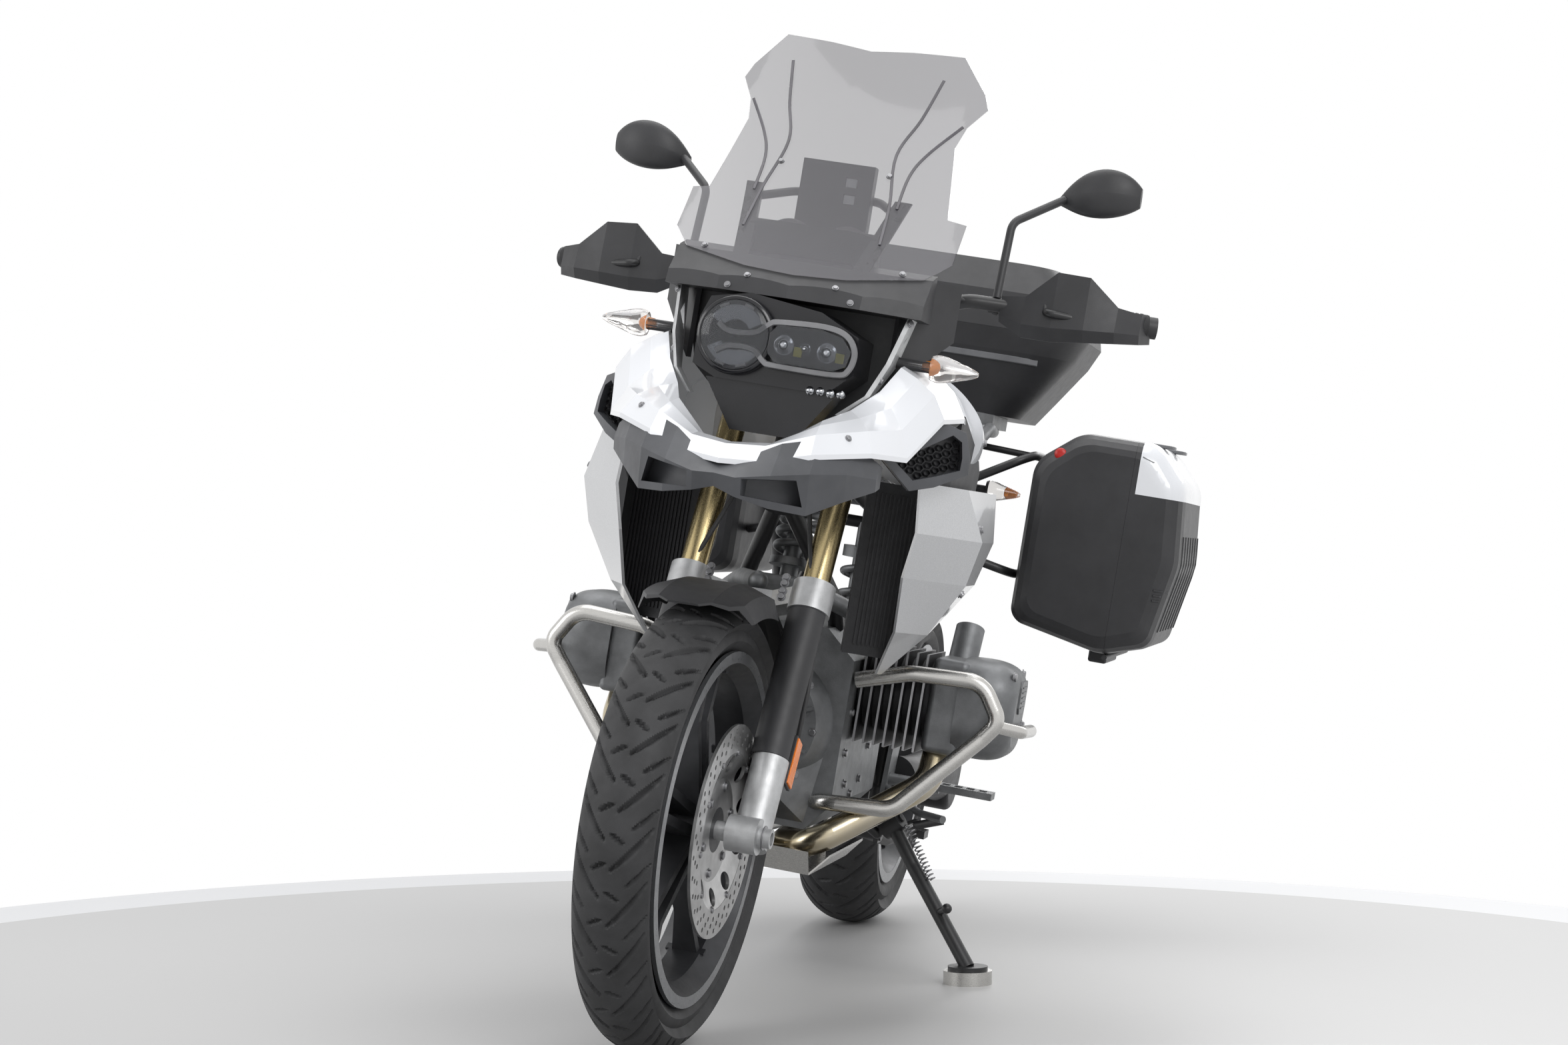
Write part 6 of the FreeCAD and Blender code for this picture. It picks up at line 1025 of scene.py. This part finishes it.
band = [hit("top_case", (x * 20, 1000, 1110), BACK) + AHEAD * 0.3 for x in range(-10, 11)]
Piece().strip(band, 14, 2.4, AHEAD).done("top_case_band", "root", "insert", 0.6)
catches = Piece()
for x in (-150, 150):
    spot = hit("top_case", (x, 2200, 1130), AHEAD)
    catches.box(spot + Vector((0, 3, 10)), (22, 5, 30), None, 0.9)
catches.done("top_case_catches", "root", "insert", 1.5)
spot = hit("top_case", (0, 2200, 1110), AHEAD)
Piece().box(spot + BACK * 2, (60, 3, 9), None, 0.9).done("top_case_red_bar", "root", "red", 1.0)

# Engine: cover screws, fin rims and the outer faces of the heads

COVER_AT = (560, 452)
COVER_RING = 104
FRONT_SCREWS = ((70, 100, 520), (88, 100, 450), (70, 100, 380), (20, 100, 540), (20, 100, 360))
FIN_REACH = 78
HEAD_BLOCK = ((-34, -16), (-26, -26), (26, -26), (34, -16), (34, 16), (26, 26), (-26, 26), (-34, 16))


def head_y(side):
    """The heads stand on either side of the crank's middle, the left one further forward."""
    return 572 - side * 17


def barrel_centre(side):
    points = [p for p in mesh_of("cylinders")[0] if p.x * side > 150]
    low = Vector(min(p[k] for p in points) for k in range(3))
    high = Vector(max(p[k] for p in points) for k in range(3))
    return (low + high) / 2


BARRELS = {side: barrel_centre(side) for side in SIDES}


def fin_rims(centre, normal):
    """The fins' outer faces, without those that look along the barrel or back."""
    middle = BARRELS[1 if centre.x > 0 else -1]
    reach = math.hypot(centre.y - middle.y, centre.z - middle.z)
    return reach > FIN_REACH and abs(normal.x) < 0.5 and normal.y < 0.35


cover_screws = [(600, COVER_AT[0] + COVER_RING * math.sin(a), COVER_AT[1] + COVER_RING * math.cos(a))
                for a in turns(10)]
screws_at("engine_screws", ("engine_case",), cover_screws, (-1, 0, 0), 5.5, 5)
screws_at("engine_front_screws", ("engine_case",), FRONT_SCREWS, BACK, 5, 4)
head_screws = Piece()
for side in SIDES:
    looks = [((side * 700, head_y(side) + y, 540 + z), (-side, 0, 0)) for z in (40, -40) for y in (-52, 52)]
    for point in seen("cylinder_heads", looks):
        head_screws.bolt(point, (side, 0, 0), 6.5, 5)
head_screws.done("head_screws", "root", "screw", 0.3)
Piece().skin("cylinders", fin_rims, 0.35).done("fin_rims", "root", "fin_edge")
blocks = Piece()
for side in SIDES:
    point = hit("cylinder_heads", (side * 700, head_y(side), 548), (-side, 0, 0))
    blocks.prism([point + Vector((-side * 4, y, z)) for y, z in HEAD_BLOCK], (side * 7, 0, 0))
    for k in range(5):
        blocks.strip([point + Vector((side * 3, y, -16 + k * 8)) for y in (-22, 22)], 3, 1.5, (side, 0, 0))
blocks.done("head_blocks", "root", "cast_aluminium", 1.2)

# Tank centre and filler cap

TANK_STRIP = (((66, 0, 0), (1, 0, 0)), ((-66, 0, 0), (-1, 0, 0)), ((0, 470, 0), AHEAD))
Piece().skin("tank_cover", lambda centre, normal: normal.z > 0.2, 1.2, TANK_STRIP).done(
    "tank_centre", "root", "dark_plastic")
cap = Piece()
spot, normal = met("tank_cover", (0, 560, 1300), DOWN)
cap.turned(spot, normal, ((46, -2), (46, 2), (43, 4.5), (30, 5), (29, 4), (10, 4.2), (0.02, 4.4)), 40)
cap.box(spot + normal * 6, (21, 6, 2.4), None, 0.85)
for place in ring(spot, *across(normal), 37, turns(6)):
    cap.bolt(place + normal * 4, normal, 3, 2)
cap.done("filler_cap", "root", "cast_aluminium", 0.4)

# Gauges and the drive's screws

GAUGE_X = 44
GAUGE_Z = 1172
DRIVE_RING = 62
gauges = Piece()
dials = Piece()
for x in (-GAUGE_X, GAUGE_X):
    for spot in seen("cockpit", [((x, 900, GAUGE_Z), AHEAD)]):
        gauges.turned(spot + AHEAD, BACK, ((42, -2), (42, 8), (39, 11), (36, 11), (35, 5), (0.02, 5)), 40)
        dials.turned(spot + BACK * 3.6, BACK, ((34, -1), (34, 1.2), (0.02, 1.4)), 40)
        for k in range(11):
            a = math.radians(-40 + k * 26)
            way = Vector((math.cos(a), 0, math.sin(a)))
            gauges.strip([spot + BACK * 4.6 + way * reach for reach in (25, 32)], 1.6, 1.2, BACK)
gauges.done("gauge_rims", "root", "trim", 0.4)
dials.done("gauge_dials", "root", "bezel")
drive = Piece()
for a in turns(8, 0.2):
    start = (-500, REAR_AXLE.y + DRIVE_RING * math.sin(a), REAR_AXLE.z + DRIVE_RING * math.cos(a))
    for spot in seen("swingarm", [(start, (1, 0, 0))]):
        drive.bolt(spot, (-1, 0, 0), 5.5, 5)
drive.done("drive_screws", "root", "screw", 0.2)

# Side stand's spring, beside the leg from the pin down

STAND_PIN = Vector((168, 800, 284))
STAND_LEG = Vector((0.628, -0.235, -0.741))
PIN_LINE = Vector((0.723, -0.176, 0.668))
COILS = 14
COIL_STEPS = 12
COIL_RADIUS = 6
WIRE_RADIUS = 1.3

start = STAND_PIN + STAND_LEG * 16 + PIN_LINE * 24
end = STAND_PIN + STAND_LEG * 118 + PIN_LINE * 17
one, other = across(end - start)
coil = []
for k in range(COILS * COIL_STEPS + 1):
    a = 2 * math.pi * k / COIL_STEPS
    coil += ring(start.lerp(end, k / (COILS * COIL_STEPS)), one, other, COIL_RADIUS, [a])
Piece().tube(coil, WIRE_RADIUS, 6).done("side_stand_spring", "side_stand", "screw")

# Floor: a pale disc with a paler edge, and white beyond it

DISC_CENTRE = (-0.017, -0.36, 0)
DISC_RADIUS = 1.83
EDGE_WIDTH = 0.20
FLOOR_REACH = 14.0

floor_material = bpy.data.materials.new("pale_floor")
floor_material.use_nodes = True
floor_tree = floor_material.node_tree
grain = wired(floor_tree, "TexNoise", {"Scale": 2.2, "Detail": 8.0})
ramp = wired(floor_tree, "ValToRGB", {"Fac": grain.outputs["Fac"]})
ramp.color_ramp.elements[0].color = (0.47, 0.465, 0.455, 1)
ramp.color_ramp.elements[1].color = (0.60, 0.595, 0.585, 1)
place = wired(floor_tree, "TexCoord", {})
from_centre = wired(floor_tree, "VectorMath", {0: place.outputs["Object"], 1: DISC_CENTRE},
                    operation="DISTANCE")


def beyond(radius):
    """1 further than that from the disc's centre, 0 nearer."""
    node = wired(floor_tree, "Math", {0: from_centre.outputs["Value"], 1: radius}, operation="GREATER_THAN")
    return node.outputs[0]


edge = wired(floor_tree, "Mix", {"Factor": beyond(DISC_RADIUS), "A": ramp.outputs["Color"],
                                 "B": (0.72, 0.72, 0.72, 1)}, data_type="RGBA")
floor_shader = floor_tree.nodes["Principled BSDF"]
floor_tree.links.new(edge.outputs["Result"], floor_shader.inputs["Base Color"])
floor_shader.inputs["Roughness"].default_value = 0.5
white_floor = wired(floor_tree, "Emission", {"Color": (1, 1, 1, 1)})
surface = wired(floor_tree, "MixShader", {"Fac": beyond(DISC_RADIUS + EDGE_WIDTH), 1: floor_shader.outputs[0],
                                          2: white_floor.outputs[0]})
floor_tree.links.new(surface.outputs[0], floor_tree.nodes["Material Output"].inputs["Surface"])
floor_mesh = bpy.data.meshes.new("floor")
floor_mesh.from_pydata([(x * FLOOR_REACH, y * FLOOR_REACH, 0) for x, y in SQUARE], [], [(0, 1, 2, 3)])
floor_mesh.materials.append(floor_material)
floor = bpy.data.objects.new("floor", floor_mesh)
bpy.context.scene.collection.objects.link(floor)

# World: soft light on the object, white to the camera and in what metal and glass show

world = bpy.data.worlds.new("studio")
bpy.context.scene.world = world
world.use_nodes = True
world_tree = world.node_tree
world_tree.nodes.clear()
rays = wired(world_tree, "LightPath", {}).outputs
either = wired(world_tree, "Math", {0: rays["Is Camera Ray"], 1: rays["Is Transmission Ray"]},
               operation="MAXIMUM")
pale = wired(world_tree, "Math", {0: either.outputs[0], 1: rays["Is Glossy Ray"]}, operation="MAXIMUM")
soft = wired(world_tree, "Background", {"Color": (0.93, 0.95, 1.0, 1), "Strength": 0.55})
white = wired(world_tree, "Background", {"Color": (1, 1, 1, 1), "Strength": 1.0})
mix = wired(world_tree, "MixShader", {"Fac": pale.outputs[0], 1: soft.outputs[0], 2: white.outputs[0]})
wired(world_tree, "OutputWorld", {"Surface": mix.outputs[0]})

# Lamps and camera

CAMERA_AT = (0.91783, -4.73334, 0.69699)
CAMERA_TURN = (math.pi / 2 + 0.01248, 0, 0.210955)
CAMERA_LENS = 66.23
SENSOR_WIDTH = 36

def area_light(name, where, target, size, power):
    data = bpy.data.lights.new(name, "AREA")
    data.shape = "RECTANGLE"
    data.size = size[0]
    data.size_y = size[1]
    data.energy = power
    lamp = bpy.data.objects.new(name, data)
    lamp.location = where
    lamp.rotation_euler = (Vector(target) - Vector(where)).to_track_quat("-Z", "Y").to_euler()
    bpy.context.scene.collection.objects.link(lamp)


area_light("key", (3.4, -4.2, 3.6), (0, 0, 0.6), (3.0, 2.0), 110)
area_light("fill", (-4.4, -3.2, 2.6), (0, 0, 0.6), (3.0, 2.4), 70)
area_light("top", (0.0, 0.4, 4.6), (0, 0, 0.4), (4.0, 4.0), 90)
area_light("back", (1.0, 4.6, 2.8), (0, 0, 0.8), (3.4, 2.0), 70)

camera_data = bpy.data.cameras.new("photo_view")
camera_data.lens = CAMERA_LENS
camera_data.sensor_width = SENSOR_WIDTH
camera = bpy.data.objects.new("photo_view", camera_data)
camera.location = CAMERA_AT
camera.rotation_euler = CAMERA_TURN
bpy.context.scene.collection.objects.link(camera)
bpy.context.scene.camera = camera
bpy.context.scene.view_settings.view_transform = "Standard"
